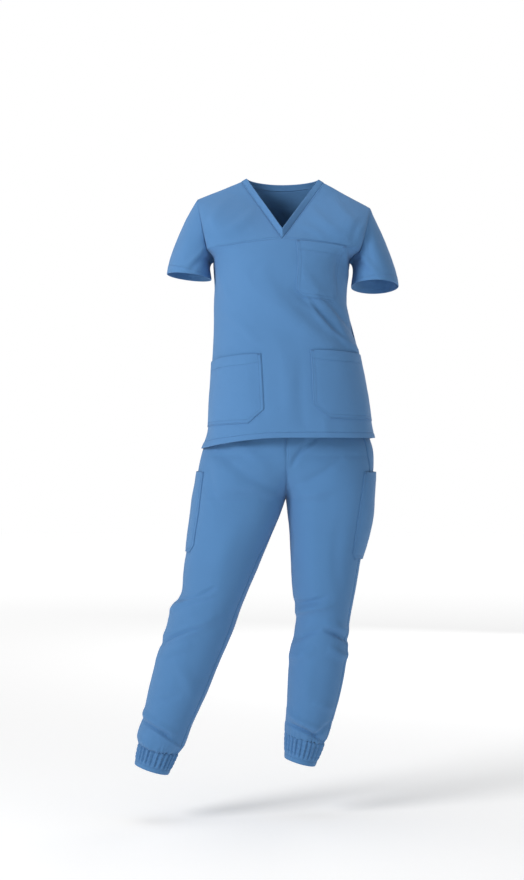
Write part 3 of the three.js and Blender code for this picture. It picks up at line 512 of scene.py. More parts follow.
def yoke_point(side, across, up):
    sign = SIGN[side]
    bottom = chest_seam(sign * across)
    top = shoulder_seam(side, across)
    inner_middle = mix(V_POINT, SHOULDERS[side]["neck"], 0.5)
    end, tip = chest_seam(sign), SHOULDERS[side]["tip"]
    outer_middle = Vector((mix(end.x, tip.x, 0.56), -44, mix(end.z, tip.z, 0.5)))
    middle = mix(inner_middle, outer_middle, math.sin(across * math.pi / 2))
    middle.y -= 24 * math.sin(math.pi * across)
    below = mix(bottom * 2 - middle, front_point(sign * across, UNDERARM), across)
    if up < 0.5:
        return hermite(bottom, (middle - below) * 0.5, middle, (top - bottom) * 0.5, up * 2)
    return hermite(middle, (top - bottom) * 0.5, top, shoulder_slope(top - middle, 1, across), up * 2 - 1)


YOKE_FOLDS = {
    "right": [
        (-60, -20, -150, -92, 15, 3.0, 0.3),
        (-176, -30, -150, -108, 9, -2.6, 0.0),
        (-110, 10, -168, -60, 12, 2.4, 0.0),
    ],
    "left": [
        (55, -18, 145, -95, 15, 3.0, -0.3),
        (176, -40, 150, -108, 9, -2.6, 0.0),
        (105, 8, 166, -62, 12, 2.6, 0.0),
        (30, -60, 96, -104, 10, 2.2, 0.3),
    ],
}


def yoke_relief(from_v, from_armhole, from_chest, from_shoulder, at):
    lap = 0.3 * math.exp(-((from_chest - 4) / 3.5) ** 2)
    sides = 0.25 * seam_dip(from_v) + 0.2 * seam_dip(from_armhole)
    return sides + 0.4 * seam_dip(from_chest) + lap + seam_dip(from_shoulder)


def yoke_calm(from_v, from_armhole, from_chest, from_shoulder, at):
    return smooth(min(from_v, from_armhole) / ARMHOLE_CALM)


for side in ("right", "left"):
    is_right = side == "right"
    yoke = cut_cloth(
        "tunic_yoke_" + side,
        spread(1, 0, 60, 0.5) if is_right else spread(0, 1, 60, 0.5),
        spread(0, 1, 56, 0.5),
        lambda across, up, side=side: yoke_point(side, across, up),
        folds=(YOKE_FOLDS[side], ()),
        relief=yoke_relief,
        calm=yoke_calm,
    )
    yoke.data.materials.append(tunic_cloth)
    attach(yoke, "root")
    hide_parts("yoke_" + side)
    v_edge = -3 if is_right else 3
    sew("tunic_yoke_" + side, [[(2, 3), (-2, 3)], [(v_edge, 3), (v_edge, -2)]])


# Tunic back
# One plain panel from the hem to the shoulder seams and the back neckline, with soft folds across the waist.
UPPER_BACK = [
    # zMiddle, zRight, zLeft, xRight, xLeft, yMiddle, yEnd
    (-100, -104, -112, -172, 168, 108, 48),
    (-42, -48, -62, -185, 184, 98, 48),
]


def neck_curve(middle, end, share):
    turn = share * math.pi / 2
    cosine = max(math.cos(turn), 0)
    x = mix(middle.x, end.x, math.sin(turn))
    return Vector((x, mix(end.y, middle.y, cosine), mix(end.z, middle.z, cosine**1.5)))


def back_top(across):
    side = "right" if across < 0 else "left"
    reach = abs(across)
    if reach >= NECK_SHARE:
        return shoulder_seam(side, (reach - NECK_SHARE) / (1 - NECK_SHARE))
    return neck_curve(Vector((-4, 69, 29)), SHOULDERS[side]["neck"], reach / NECK_SHARE)


def back_point(across, place):
    turn = math.pi - across * math.pi / 2

    def row_point(row):
        if row <= UNDERARM:
            return tunic_row(row, turn)
        if row > UNDERARM + len(UPPER_BACK):
            return back_top(across)
        z_middle, z_right, z_left, x_right, x_left, y_middle, y_end = UPPER_BACK[row - UNDERARM - 1]
        half = across * math.pi / 2
        reach = abs(math.sin(half))
        x = mix((x_right + x_left) / 2, x_right if across < 0 else x_left, reach)
        y = mix(y_end, y_middle, max(math.cos(half), 0) ** 0.9)
        return Vector((x, y, mix(z_middle, z_right if across < 0 else z_left, reach * reach)))

    share = (abs(across) - NECK_SHARE) / (1 - NECK_SHARE)
    over = (lambda straight: shoulder_slope(straight, -1, share)) if share >= 0 else None
    return column_point(row_point, UNDERARM + len(UPPER_BACK) + 2, across, place, over)


TUNIC_BACK_FOLDS = [
    (-140, -300, 60, -262, 15, 3.6, 0.3),
    (-60, -335, 140, -300, 14, 3.4, -0.3),
    (-130, -262, 20, -236, 11, -2.6, 0.0),
    (20, -285, 140, -262, 12, 2.8, 0.0),
    (-165, -110, -120, -235, 12, 3.2, -0.3),
    (150, -112, 112, -240, 12, 3.2, 0.3),
    (-60, -30, -90, -200, 26, 2.4, 0.0),
    (60, -30, 84, -200, 26, 2.4, 0.0),
    (-40, -360, -46, -545, 20, 3.2, 0.0),
    (70, -370, 84, -545, 22, 3.4, 0.0),
    (-120, -400, -132, -552, 14, -2.6, 0.0),
    (20, -420, 18, -550, 12, -2.2, 0.0),
]


def back_relief(from_left, from_right, from_hem, from_top, at):
    top = mix(0.1, 1, smooth((abs(at.x + 3) - 82) / 12)) * seam_dip(from_top)
    return side_dip(from_right, from_left, at) + top + hem_step(from_hem, TUNIC_HEM)


tunic_back = cut_cloth(
    "tunic_back",
    spread(1, -1, 130, 0.2),
    spread(0, UNDERARM + len(UPPER_BACK) + 1, 150, 0.3),
    back_point,
    folds=((), TUNIC_BACK_FOLDS),
    relief=back_relief,
    calm=calm_at_armholes,
)
tunic_back.data.materials.append(tunic_cloth)
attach(tunic_back, "root")
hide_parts("back")
sew("tunic_back", [[(2, TUNIC_HEM), (-2, TUNIC_HEM)], [(2, -3), (-2, -3)]])


# Sleeves
# Short set-in sleeves. Each is eased into its armhole, stands off the arm, and has a turned and stitched hem.
# The last rows of a sleeve are its seam allowance, tucked inside the armhole.
SLEEVE_ALLOWANCE = 3.5
SLEEVE_HEM = 20
SLEEVES = {
    "right": {
        "hem": Vector((-213.5, 4, -173)), "width": 50, "depth": 67,
        "drop_in": 12, "drop_back": 3, "spread": 0.52,
    },
    "left": {
        "hem": Vector((204.5, 4, -195)), "width": 53, "depth": 67,
        "drop_in": 0, "drop_back": 11, "spread": 0.26,
    },
}
SLEEVE_FOLDS = {
    "right": [
        (-168, -96, -226, -160, 9, 2.8, 0.3),
        (-170, -128, -212, -168, 7, -2.6, 0.0),
        (-196, -30, -224, -140, 12, 2.2, 0.0),
    ],
    "left": [
        (164, -108, 214, -176, 9, 3.0, -0.3),
        (168, -140, 206, -186, 7, -2.6, 0.0),
        (196, -40, 222, -160, 12, 2.2, 0.0),
        (186, -60, 196, -150, 8, -2.0, 0.0),
    ],
}


def armhole(side):
    sign = SIGN[side]
    fine = [i / 24 for i in range(25)]
    top = UNDERARM + len(UPPER_BACK) + 1
    ring = [front_point(sign, UNDERARM + s) for s in fine]
    ring += [yoke_point(side, 1, s) for s in fine[1:]]
    return ring + [back_point(sign, mix(top, UNDERARM, s)) for s in fine[1:]]


def sleeve_columns(side, count):
    sleeve = SLEEVES[side]
    sign = SIGN[side]
    ring = armhole(side)
    passed = [0.0]
    for a, b in zip(ring, ring[1:]):
        passed.append(passed[-1] + (b - a).length)
    columns = []
    for i in range(count + 1):
        goal = passed[-1] * i / count
        k = max(n for n in range(len(passed) - 1) if passed[n] <= goal + 1e-9)
        start = mix(ring[k], ring[k + 1], (goal - passed[k]) / (passed[k + 1] - passed[k]))
        turn = 2 * math.pi * i / count
        outward, forward = -math.cos(turn), math.sin(turn)
        end = sleeve["hem"] + Vector((
            sign * sleeve["width"] * outward,
            -sleeve["depth"] * forward,
            sleeve["drop_in"] / 2 * outward + sleeve["drop_back"] * forward,
        ))
        axis = (sleeve["hem"] - SHOULDERS[side]["tip"]).normalized()
        radial = Vector((sign * outward, -forward, 0.25 * outward))
        slope = (axis + radial * (sleeve["spread"] * (1 + outward) / 2)) * (62 * (1 + 0.4 * outward))
        under = ((1 - outward) / 2) ** 3
        slope += Vector((sign * 42 * under, 0, 14 * under))
        columns.append((start, slope, end, axis * (start - end).length))
    return columns


def sleeve_relief(from_start, from_end, from_hem, from_armhole, at):
    from_seam = from_armhole - SLEEVE_ALLOWANCE
    tucked = -1.2 * smooth(-from_seam / 2)
    eased = 0.35 * math.sin(from_start / 3.1) * math.exp(-(((from_seam - 5) / 5) ** 2))
    seam = 0.2 * seam_dip(from_seam) + eased if from_seam > 0 else -0.22
    return hem_step(from_hem, SLEEVE_HEM) + tucked + seam


def sleeve_calm(from_start, from_end, from_hem, from_armhole, at):
    return smooth((from_armhole - SLEEVE_ALLOWANCE) / ARMHOLE_CALM)


for side in ("right", "left"):
    columns = sleeve_columns(side, 120)
    if side == "right":
        columns.reverse()
    sleeve = cut_cloth(
        "tunic_sleeve_" + side,
        list(range(121)),
        spread(0, 1, 60, 0.4) + [1.012, 1.025],
        lambda i, share, columns=columns: hermite(*columns[i], 1 - share),
        folds=(SLEEVE_FOLDS[side], SLEEVE_FOLDS[side]),
        relief=sleeve_relief,
        calm=sleeve_calm,
        closed=True,
    )
    sleeve.data.materials.append(tunic_cloth)
    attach(sleeve, "root")
    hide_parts("sleeve_" + side)
    sew("tunic_sleeve_" + side, [[(0.1, SLEEVE_HEM), (-0.1, SLEEVE_HEM)]])


# Neckband
# A doubled band 13 mm wide, mitred at the point of the V and edge-stitched where it joins the yokes and the
# back. Its first row is its seam allowance, tucked in behind them.
def band_outer(share):
    if share <= 1:
        return yoke_point("right", 0, 1 - share)
    if share <= 2:
        return yoke_point("left", 0, share - 1)
    return back_top(mix(NECK_SHARE, -NECK_SHARE, share - 2))


def band_inner(share):
    v_inner = Vector((-5, -101, -75))
    if share <= 1:
        return mix(SHOULDERS["right"]["neck_inner"], v_inner, share)
    if share <= 2:
        return mix(v_inner, SHOULDERS["left"]["neck_inner"], share - 1)
    across = mix(1, -1, share - 2)
    end = SHOULDERS["right" if across < 0 else "left"]["neck_inner"]
    return neck_curve(Vector((-4, 66, 42)), end, abs(across))


def band_relief(from_start, from_end, from_outer, from_inner, at):
    tucked = -1.5 * smooth((1.2 - from_outer) / 1.2)
    crown = 0.25 * math.sin(math.pi * clamp(from_outer / (from_outer + from_inner)))
    mitre = -0.6 * math.exp(-((at.x - V_POINT.x) / 1.4) ** 2) if at.y < -60 else 0
    return tucked + crown + mitre - 0.25 * math.exp(-(((from_outer - 1.4) / 1.4) ** 2))


band_shares = [i / 40 for i in range(41)] + [1 + i / 40 for i in range(1, 41)]
band_shares += [2 + i / 50 for i in range(1, 51)]
neckband = cut_cloth(
    "tunic_neckband",
    band_shares,
    [-0.1] + [i / 12 for i in range(13)],
    lambda share, up: mix(band_outer(share), band_inner(share), up),
    relief=band_relief,
    closed=True,
    inward=2.2,
)
neckband.data.materials.append(tunic_cloth)
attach(neckband, "root")
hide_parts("neckband")
sew("tunic_neckband", [[(0.1, 3.2), (-0.1, 3.2)]])


# Tunic pockets
# Three patch pockets: one on the left chest, whose mouth lies just under the chest seam, and two large lower
# ones with a slanted inner corner. Each is hemmed at the mouth and sewn down with two rows of stitches.
def rows_of_heights(across):
    return [(front_point(across, (UNDERARM + 1) * i / 80).z, (UNDERARM + 1) * i / 80) for i in range(81)]


def row_at_height(table, z):
    for (z1, row1), (z2, row2) in zip(table, table[1:]):
        if z2 >= z:
            return mix(row1, row2, (z - z1) / (z2 - z1))
    return table[-1][1]


height_tables = {}


def front_at_height(across, z):
    key = round(across, 2)
    if key not in height_tables:
        height_tables[key] = rows_of_heights(key)
    return front_point(across, row_at_height(height_tables[key], z))


def across_at(x, z):
    low, high = -1.0, 1.0
    for _ in range(24):
        middle = (low + high) / 2
        if front_point(middle, row_at_height(rows_of_heights(middle), z)).x < x:
            low = middle
        else:
            high = middle
    return (low + high) / 2


POCKET_ROWS = (2.2, 8.4)
POCKET_HEM = 22


def pocket_relief(gape):
    def relief(from_side, from_other, from_bottom, from_mouth, at):
        width = from_side + from_other
        edge = min(from_side, from_other, from_bottom)
        puff = 0.5 * smooth((edge - 8) / 14)
        for row in POCKET_ROWS:
            puff -= 0.4 * math.exp(-(((edge - row) / 1.1) ** 2))
        open_mouth = gape * math.sin(math.pi * clamp(from_side / width)) * math.exp(-from_mouth / 30)
        mouth_hem = 0.3 * smooth((POCKET_HEM - from_mouth) / 1.5)
        mouth_hem -= 0.3 * math.exp(-(((from_mouth - POCKET_HEM) / 1.2) ** 2))
        return 0.15 + CLOTH + puff + open_mouth + mouth_hem

    return relief


LOWER_POCKETS = {
    # x and z of the inner edge at the mouth and the bottom, and z at the side seam
    "right": {"x": (-52, -44), "mouth": (-350, -368), "bottom": (-502, -511)},
    "left": {"x": (56, 62), "mouth": (-342, -352), "bottom": (-491, -497)},
}
for side in ("right", "left"):
    pocket = LOWER_POCKETS[side]
    sign = SIGN[side]
    inner_top = across_at(pocket["x"][0], pocket["mouth"][0])
    inner_bottom = across_at(pocket["x"][1], pocket["bottom"][0])

    def pocket_point(share, up, pocket=pocket, sign=sign, top=inner_top, bottom=inner_bottom):
        cut = 30 * clamp(1 - share / 0.16)
        low = mix(*pocket["bottom"], share) + cut
        z = mix(low, mix(*pocket["mouth"], share**1.4), up)
        inner = mix(bottom, top, (z - pocket["bottom"][0]) / (pocket["mouth"][0] - pocket["bottom"][0]))
        return front_at_height(mix(inner, sign * 0.992, share), z)

    shares = sorted(set(spread(0, 1, 56, 0.3) + [0.16]))
    if side == "right":
        shares.reverse()
    lower_pocket = cut_cloth(
        "tunic_pocket_" + side, shares, spread(0, 1, 56, 0.3), pocket_point,
        folds=(TUNIC_FRONT_FOLDS, ()), relief=pocket_relief(1.6),
    )
    lower_pocket.data.materials.append(tunic_cloth)
    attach(lower_pocket, "root")
    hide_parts("pocket_" + side)
    seams = [[(sign * row, -1), (sign * row, row), (-sign * 1.5, row)] for row in POCKET_ROWS]
    seams.append([(1.5, -POCKET_HEM), (-1.5, -POCKET_HEM)])
    sew("tunic_pocket_" + side, seams, tacks=[(sign * 5.4, -2.4), (-sign * 5.4, -2.4)])

PATCH_SEAMS = [[(row, -1), (row, row), (-row, row), (-row, -1)] for row in POCKET_ROWS]
PATCH_SEAMS.append([(1.5, -POCKET_HEM), (-1.5, -POCKET_HEM)])
PATCH_TACKS = [(5.4, -2.4), (-5.4, -2.4)]
chest_from = across_at(28, -163)
chest_to = across_at(119, -163)


def chest_pocket_point(share, up):
    top = mix(-101, -112, share)
    corner = 14 * (clamp(1 - share / 0.13) + clamp(1 - (1 - share) / 0.13))
    z = mix(top - 124 + corner, top, up)
    return front_at_height(mix(chest_from, chest_to, share), z)


chest_pocket = cut_cloth(
    "tunic_pocket_chest", sorted(set(spread(0, 1, 44, 0.3) + [0.13, 0.87])), spread(0, 1, 50, 0.3),
    chest_pocket_point, folds=(TUNIC_FRONT_FOLDS, ()), relief=pocket_relief(0.8),
)
chest_pocket.data.materials.append(tunic_cloth)
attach(chest_pocket, "root")
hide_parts("pocket_chest")
sew("tunic_pocket_chest", PATCH_SEAMS, tacks=PATCH_TACKS)

# Trouser legs
# Four panels, a front and a back for each leg, joined at the side seams, the inseams and the curved centre
# seams. The right leg is stepped out to its side. The cloth breaks over each knee and again above each cuff.
CENTRE_X = 4
CROTCH_Z = -672
WAIST_Z = -438
LEG_POWER = 2.05
HIP_SECTIONS = [
    # z, xRight, xLeft, y, front, back
    (CROTCH_Z, -202, 193, 6, 104, 114),
    (-640, -197, 197, 4, 108, 119),
    (-600, -192, 201, 2, 113, 125),
    (-562, -182.4, 200, 0, 116, 127.5),
    (-520, -169.1, 188, 0, 113, 118),
    (WAIST_Z, -150, 164, -2, 104, 98),
]
LEG_SECTIONS = {
    # z, inner, outer, y, front, back, tilt
    "right": [
        (-1229, -237, -325, -32, 50, 50, -0.26),
        (-1206, -221, -327, -32, 60, 58, -0.24),
        (-1166, -204, -316, -30, 62, 62, -0.14),
        (-1100, -173, -302, -28, 66, 72, -0.1),
        (-1030, -143, -285, -27, 70, 78, -0.06),
        (-965, -115, -265, -25, 76, 76, -0.04),
        (-918, -97, -253, -22, 82, 76, 0),
        (-884, -83, -231, -18, 84, 80, 0),
        (-832, -61, -225, -12, 88, 88, 0),
        (-760, -31, -214, -4, 95, 98, 0),
        (-706, -8, -206, 2, 101, 108, 0),
        (CROTCH_Z, CENTRE_X, -202, 6, 104, 114, 0),
    ],
    "left": [
        (-1213, 3, 91, 24, 50, 50, -0.3),
        (-1194, 2, 101, 22, 58, 58, -0.24),
        (-1156, 6, 114, 20, 62, 64, -0.12),
        (-1084, 9, 133, 16, 67, 74, -0.06),
        (-1012, 14, 144, 12, 72, 78, 0),
        (-966, 24, 146, 10, 74, 76, 0),
        (-930, 27, 151, 8, 78, 76, 0),
        (-884, 20, 160, 8, 82, 82, 0),
        (-832, 16, 169, 8, 88, 90, 0),
        (-760, 13, 182, 8, 95, 100, 0),
        (-706, 8, 190, 7, 101, 109, 0),
        (CROTCH_Z, CENTRE_X, 193, 6, 104, 114, 0),
    ],
}
SEAM_TURN = {"right": (0.09, 0.5), "left": (0.42, 0.06)}
FORK_HEIGHT = 96


def smooth_row(table, place):
    last = len(table) - 1
    i = int(clamp(math.floor(place), 0, last - 1))
    values = []
    for key in range(len(table[0])):
        def slope(row, key=key):
            low, high = max(row - 1, 0), min(row + 1, last)
            return (table[high][key] - table[low][key]) / (high - low)

        values.append(hermite(table[i][key], slope(i), table[i + 1][key], slope(i + 1), place - i))
    return values


def place_of_height(table, z):
    low, high = 0.0, len(table) - 1.0
    rising = table[-1][0] > table[0][0]
    for _ in range(30):
        middle = (low + high) / 2
        if (smooth_row(table, middle)[0] < z) == rising:
            low = middle
        else:
            high = middle
    return (low + high) / 2


def power_near_crotch(distance):
    return mix(LEG_POWER, 2.5, smooth(1 - distance / 150))


def leg_ring(side, place):
    z, inner, outer, y, front, back, tilt = smooth_row(LEG_SECTIONS[side], place)
    power = power_near_crotch(CROTCH_Z - z)
    return (z, (inner + outer) / 2, abs(outer - inner) / 2, y, front, back, tilt, 1, power)


def hip_ring(side, z):
    _, x_right, x_left, y, front, back = smooth_row(HIP_SECTIONS, place_of_height(HIP_SECTIONS, z))
    sign, outer = (-1, x_right) if side == "right" else (1, x_left)
    opened = 1 - clamp((z - CROTCH_Z) / FORK_HEIGHT) ** 1.45
    radius = abs(outer - CENTRE_X) / (1 + opened)
    return (z, outer - sign * radius, radius, y, front, back, 0, opened, power_near_crotch(z - CROTCH_Z))


def signed_power(value, power):
    return math.copysign(abs(value) ** power, value)


def ring_point(ring, turn):
    z, centre, radius, y, front, back, tilt, _, power = ring
    x = centre + radius * signed_power(math.sin(turn), 2 / power)
    depth = front if math.cos(turn) >= 0 else back
    return Vector((x, y - depth * signed_power(math.cos(turn), 2 / power), z + tilt * (x - centre)))


def seam_turns(side, ring):
    sign = SIGN[side]
    ahead, inseam_ahead = SEAM_TURN[side]
    below = smooth((CROTCH_Z - ring[0]) / 160)
    inner = math.asin(min(ring[7] ** (ring[8] / 2), 1))
    inseam = inseam_ahead * below
    return sign * (math.pi / 2 - ahead), -sign * (inner - inseam), -sign * (math.pi - inner - inseam)


leg_rings = {}
for side in ("right", "left"):
    last = len(LEG_SECTIONS[side]) - 1
    fork = [CROTCH_Z + FORK_HEIGHT * (i / 30) ** 1.25 for i in range(1, 31)]
    hip = [mix(CROTCH_Z + FORK_HEIGHT, WAIST_Z, i / 34) for i in range(1, 35)]
    leg_rings[side] = [leg_ring(side, last * i / 190) for i in range(191)]
    leg_rings[side] += [hip_ring(side, z) for z in fork + hip]

LEG_FOLDS = {
    # x1, z1, x2, z2, width, height, sharpness
    "right": [
        (-246, -900, -150, -862, 8, -6.5, -0.4),
        (-272, -932, -150, -878, 10, 8.0, 0.5),
        (-286, -980, -150, -925, 13, 5.0, -0.3),
        (-292, -1008, -176, -950, 7, -8.0, 0.5),
        (-292, -1036, -200, -990, 13, 4.5, 0.3),
        (-222, -930, -120, -925, 14, 3.5, 0.0),
        (-326, -1158, -226, -1222, 7, -9.0, 0.5),
        (-330, -1132, -236, -1190, 11, 6.5, -0.3),
        (-330, -1196, -262, -1232, 8, 5.0, 0.0),
        (-300, -1112, -226, -1100, 10, -3.6, 0.0),
        (-256, -1186, -224, -1226, 6, 4.0, 0.0),
        (-250, -1020, -196, -1120, 15, 3.6, 0.2),
        (-180, -700, -206, -900, 17, 3.0, 0.0),
        (-96, -700, -150, -900, 22, 3.6, 0.0),
        (-16, -650, -150, -560, 15, -4.4, 0.3),
        (-12, -668, -130, -640, 11, 3.4, 0.0),
        (-30, -610, -150, -530, 14, 3.4, 0.0),
        (-168, -575, -140, -700, 11, -3.0, 0.0),
    ],
    "left": [
        (8, -906, 96, -884, 9, -4.5, -0.4),
        (6, -940, 104, -906, 11, 6.0, 0.4),
        (8, -1000, 84, -958, 11, -5.8, 0.4),
        (2, -1030, 70, -1004, 11, 5.4, 0.0),
        (154, -976, 84, -946, 10, 4.5, 0.0),
        (156, -1002, 84, -962, 7, -7.5, -0.5),
        (158, -1028, 96, -1000, 11, 5.4, 0.3),
        (30, -918, 120, -902, 12, 3.6, 0.0),
        (0, -1172, 96, -1226, 7, -8.5, 0.5),
        (0, -1144, 96, -1190, 10, 5.8, -0.3),
        (-2, -1196, 54, -1222, 7, 4.0, 0.0),
        (112, -1172, 58, -1216, 7, -5.0, 0.0),
        (116, -1146, 60, -1130, 10, 3.8, 0.0),
        (64, -1020, 54, -1140, 16, 3.6, 0.0),
        (60, -700, 74, -900, 22, 3.6, 0.0),
        (128, -700, 122, -880, 15, -3.0, 0.0),
        (10, -606, 76, -530, 8, -5.5, 0.3),
        (24, -640, 130, -575, 13, -3.6, -0.3),
        (14, -664, 122, -640, 11, 3.4, 0.0),
    ],
}
LEG_BACK_FOLDS = {
    "right": [
        (-262, -1000, -130, -960, 13, -5.6, 0.3),
        (-258, -972, -120, -936, 11, 4.2, -0.3),
        (-250, -940, -112, -905, 12, -5.2, 0.3),
        (-240, -910, -100, -880, 12, 3.8, 0.0),
        (-320, -1168, -236, -1196, 9, -5.6, 0.3),
        (-312, -1140, -226, -1168, 10, 4.6, 0.0),
        (-30, -690, -150, -730, 14, -4.0, 0.3),
        (-20, -660, -160, -690, 14, 3.6, 0.0),
        (-90, -560, -110, -640, 22, 3.0, 0.0),
        (-140, -760, -176, -880, 18, 2.8, 0.0),
    ],
    "left": [
        (24, -1004, 140, -966, 12, -5.2, -0.3),
        (20, -976, 140, -938, 11, 4.0, 0.3),
        (26, -940, 150, -910, 12, -4.8, 0.0),
        (20, -906, 150, -880, 12, 3.6, 0.0),
        (6, -1150, 96, -1188, 9, -5.4, 0.3),
        (10, -1122, 104, -1156, 10, 4.2, 0.0),
        (36, -690, 150, -724, 14, -4.0, -0.3),
        (24, -660, 160, -684, 14, 3.4, 0.0),
        (96, -560, 104, -640, 22, 3.0, 0.0),
        (100, -760, 96, -880, 18, 2.8, 0.0),
    ],
}


def leg_relief(from_start, from_end, from_cuff, from_waist, at):
    gather = 1.5 * math.sin(from_start / 2.9 + 2 * math.sin(from_start / 11)) * math.exp(-from_cuff / 10)
    seams = 1.9 * math.exp(-((from_start / 3) ** 2)) + 1.9 * math.exp(-((from_end / 3) ** 2))
    pressed = gather - seams - 0.8 * math.exp(-((from_cuff / 2.5) ** 2))
    return pressed * calm_at_fork(from_start, from_end, from_cuff, from_waist, at)


def calm_at_fork(from_start, from_end, from_cuff, from_waist, at):
    """The two legs stay sewn together down the middle, so nothing moves there."""
    fork = smooth((at.z + 712) / 30) * smooth((-556 - at.z) / 26)
    return mix(1, smooth(abs(at.x - CENTRE_X) / 18), fork)


for side in ("right", "left"):
    for face in ("front", "back"):
        full = -2 * math.pi if side == "right" else 2 * math.pi
        turns = []
        for ring in leg_rings[side]:
            side_turn, inner_front, inner_back = seam_turns(side, ring)
            ends = (side_turn, inner_front if face == "front" else inner_back + full)
            turns.append(ends if (side == "left") == (face == "back") else ends[::-1])

        def leg_point(share, row, rings=leg_rings[side], turns=turns):
            return ring_point(rings[row], mix(*turns[row], share))

        panel = cut_cloth(
            f"trouser_{face}_panel_{side}",
            spread(0, 1, 84, 0.35),
            list(range(len(leg_rings[side]))),
            leg_point,
            folds=(LEG_FOLDS[side], LEG_BACK_FOLDS[side]),
            relief=leg_relief,
            calm=calm_at_fork,
        )
        panel.data.materials.append(trouser_cloth)
        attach(panel, "root")
        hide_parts(f"trouser_{face}_{side}")
        sew(panel.name, [[(3, -230), (3, -3)], [(-3, -230), (-3, -3)]])

# Waistband
# A plain turned band with elastic inside, out of sight under the tunic.
waist_lower = (-150, 164, 104, 98)
waist_upper = (-147, 161, 102, 96)


def waist_point(share, up):
    turn = share * 2 * math.pi
    x_right, x_left, front, back = [mix(low, high, up) for low, high in zip(waist_lower, waist_upper)]
    centre = mix(CENTRE_X, (waist_upper[0] + waist_upper[1]) / 2, up)
    x = mix(centre, x_right if math.sin(turn) < 0 else x_left, abs(math.sin(turn)) ** (2 / LEG_POWER))
    depth = front if math.cos(turn) >= 0 else back
    y = -2 - depth * signed_power(math.cos(turn), 2 / LEG_POWER)
    return Vector((x, y, mix(WAIST_Z, -404, up)))


def waist_relief(from_start, from_end, from_seam, from_top, at):
    gather = math.sin(from_start / 2.4 + math.sin(from_start / 17))
    return 0.5 * gather * math.sin(math.pi * clamp(from_seam / 34))


waistband = cut_cloth(
    "trouser_waistband", [i / 320 for i in range(321)], [i / 12 for i in range(13)], waist_point,
    relief=waist_relief, closed=True, inward=2.0,
)
waistband.data.materials.append(trouser_cloth)
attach(waistband, "root")
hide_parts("waistband")

# Ankle cuffs
# Cuffs of the same cloth, shirred over rows of elastic, so that it stands in short upright ridges above a
# plain turned hem.
CUFFS = {
    # x, y, z, half width, half depth, tilt
    "right": {
        "top": (-281, -32, -1229, 44, 50, -0.26), "bottom": (-296, -34, -1274, 38, 45, -0.32), "seed": 3,
    },
    "left": {
        "top": (47, 24, -1213, 44, 50, -0.3), "bottom": (36, 26, -1267, 35, 45, -0.28), "seed": 8,
    },
}
GATHERS = 25
for side in ("right", "left"):
    cuff = CUFFS[side]
    luck = random.Random(cuff["seed"])
    sway = [
        (luck.uniform(-0.35, 0.35), luck.uniform(0.75, 1.15), luck.uniform(-0.5, 0.5))
        for _ in range(GATHERS + 1)
    ]
    sway[GATHERS] = sway[0]

    def cuff_point(share, up, cuff=cuff, sway=sway):
        turn = share * 2 * math.pi
        x0, y0, z0, wide, deep, tilt = [mix(low, high, up) for low, high in zip(cuff["bottom"], cuff["top"])]
        place = share * GATHERS
        i = min(int(place), GATHERS - 1)
        between = place - i
        shift, tall, lean = [mix(a, b, smooth(between)) for a, b in zip(sway[i], sway[i + 1])]
        gathered = smooth((up - 0.2) / 0.18) * (1 - 0.35 * smooth((up - 0.85) / 0.15))
        wave = math.cos(2 * math.pi * place + shift + lean * up * 2.2)
        ridge = (1.5 + 2.0 * wave * tall - 0.5 * math.cos(4 * math.pi * place + 2 * shift)) * gathered
        elastic = sum(math.exp(-(((up - row) / 0.035) ** 2)) for row in (0.42, 0.62, 0.82))
        lift = ridge * (1 - 0.22 * clamp(elastic)) - 1.2 * gathered
        x = x0 + (wide + lift) * math.sin(turn)
        y = y0 - (deep + lift) * math.cos(turn)
        return Vector((x, y, z0 + tilt * (x - x0)))

    def cuff_relief(from_start, from_end, from_hem, from_top, at):
        return 0.4 * math.exp(-((from_hem - 5) / 4) ** 2) - 0.6 * math.exp(-((from_top / 1.5) ** 2))

    ankle_cuff = cut_cloth(
        "trouser_cuff_" + side, [i / 440 for i in range(441)], [i / 44 for i in range(45)], cuff_point,
        relief=cuff_relief, closed=True,
    )
    ankle_cuff.data.materials.append(trouser_cloth)
    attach(ankle_cuff, "root")
    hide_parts("cuff_" + side)
    sew(ankle_cuff.name, [[(0.1, up), (-0.1, up)] for up in (10, 22, 33, 44)])

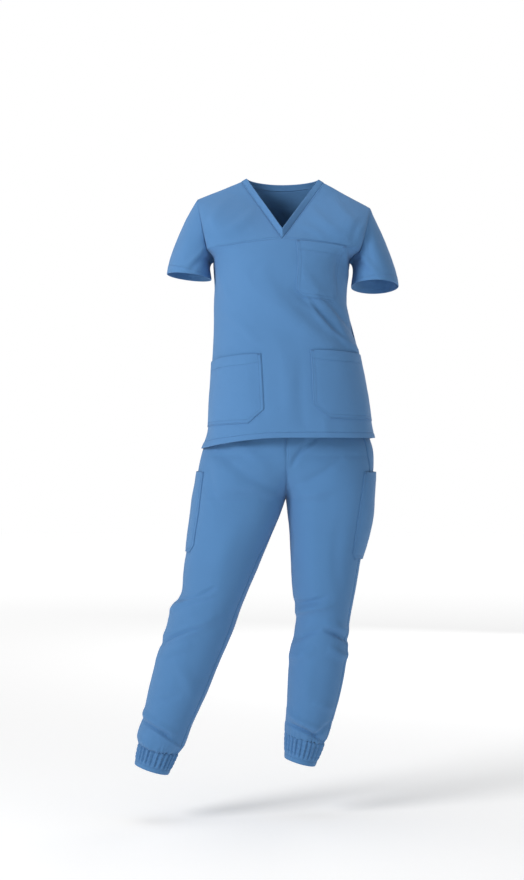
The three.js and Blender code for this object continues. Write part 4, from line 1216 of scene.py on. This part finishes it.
# Cargo pockets
# Roomy patch pockets that wrap the side of each thigh, across the side seam, and stand proud of the leg.
CARGO_POCKETS = {
    # at the bottom and the mouth: z, x of the front edge, y of the back edge; how far the pocket stands off
    "right": {"z": (-790, -611), "front": (-200, -179), "back": (66, 70), "gape": 4},
    "left": {"z": (-806, -611), "front": (149, 177), "back": (60, 63), "gape": 10},
}
for side in ("right", "left"):
    cargo = CARGO_POCKETS[side]

    def cargo_point(share, up, side=side, cargo=cargo):
        corner = 16 * (clamp(1 - share / 0.1) + clamp(1 - (1 - share) / 0.1))
        z = mix(cargo["z"][0] + corner, cargo["z"][1], up)
        if z < CROTCH_Z:
            ring = leg_ring(side, place_of_height(LEG_SECTIONS[side], z))
        else:
            ring = hip_ring(side, z)
        _, centre, radius, y, _, back, _, _, power = ring
        sign = SIGN[side]
        high = (z - cargo["z"][0]) / (cargo["z"][1] - cargo["z"][0])
        front_share = clamp(sign * (mix(*cargo["front"], high) - centre) / radius)
        front_turn = math.asin(front_share ** (power / 2))
        back_turn = math.pi / 2 + math.asin(clamp((mix(*cargo["back"], high) - y) / back) ** (power / 2))
        return ring_point(ring, sign * mix(front_turn, back_turn, share))

    def cargo_relief(from_side, from_other, from_bottom, from_mouth, at, cargo=cargo):
        base = pocket_relief(0)(from_side, from_other, from_bottom, from_mouth, at)
        across = clamp(from_side / (from_side + from_other))
        up = clamp(from_bottom / (from_bottom + from_mouth))
        return base + cargo["gape"] * math.sin(math.pi * across) * math.sin((up * 0.75 + 0.1) * math.pi)

    shares = sorted(set(spread(0, 1, 50, 0.3) + [0.1, 0.9]))
    if side == "right":
        shares.reverse()
    cargo_pocket = cut_cloth(
        "trouser_cargo_pocket_" + side, shares, spread(0, 1, 56, 0.3), cargo_point,
        folds=(LEG_FOLDS[side], LEG_BACK_FOLDS[side]), relief=cargo_relief,
    )
    cargo_pocket.data.materials.append(trouser_cloth)
    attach(cargo_pocket, "root")
    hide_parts("cargo_pocket_" + side)
    sew("trouser_cargo_pocket_" + side, PATCH_SEAMS, tacks=PATCH_TACKS)
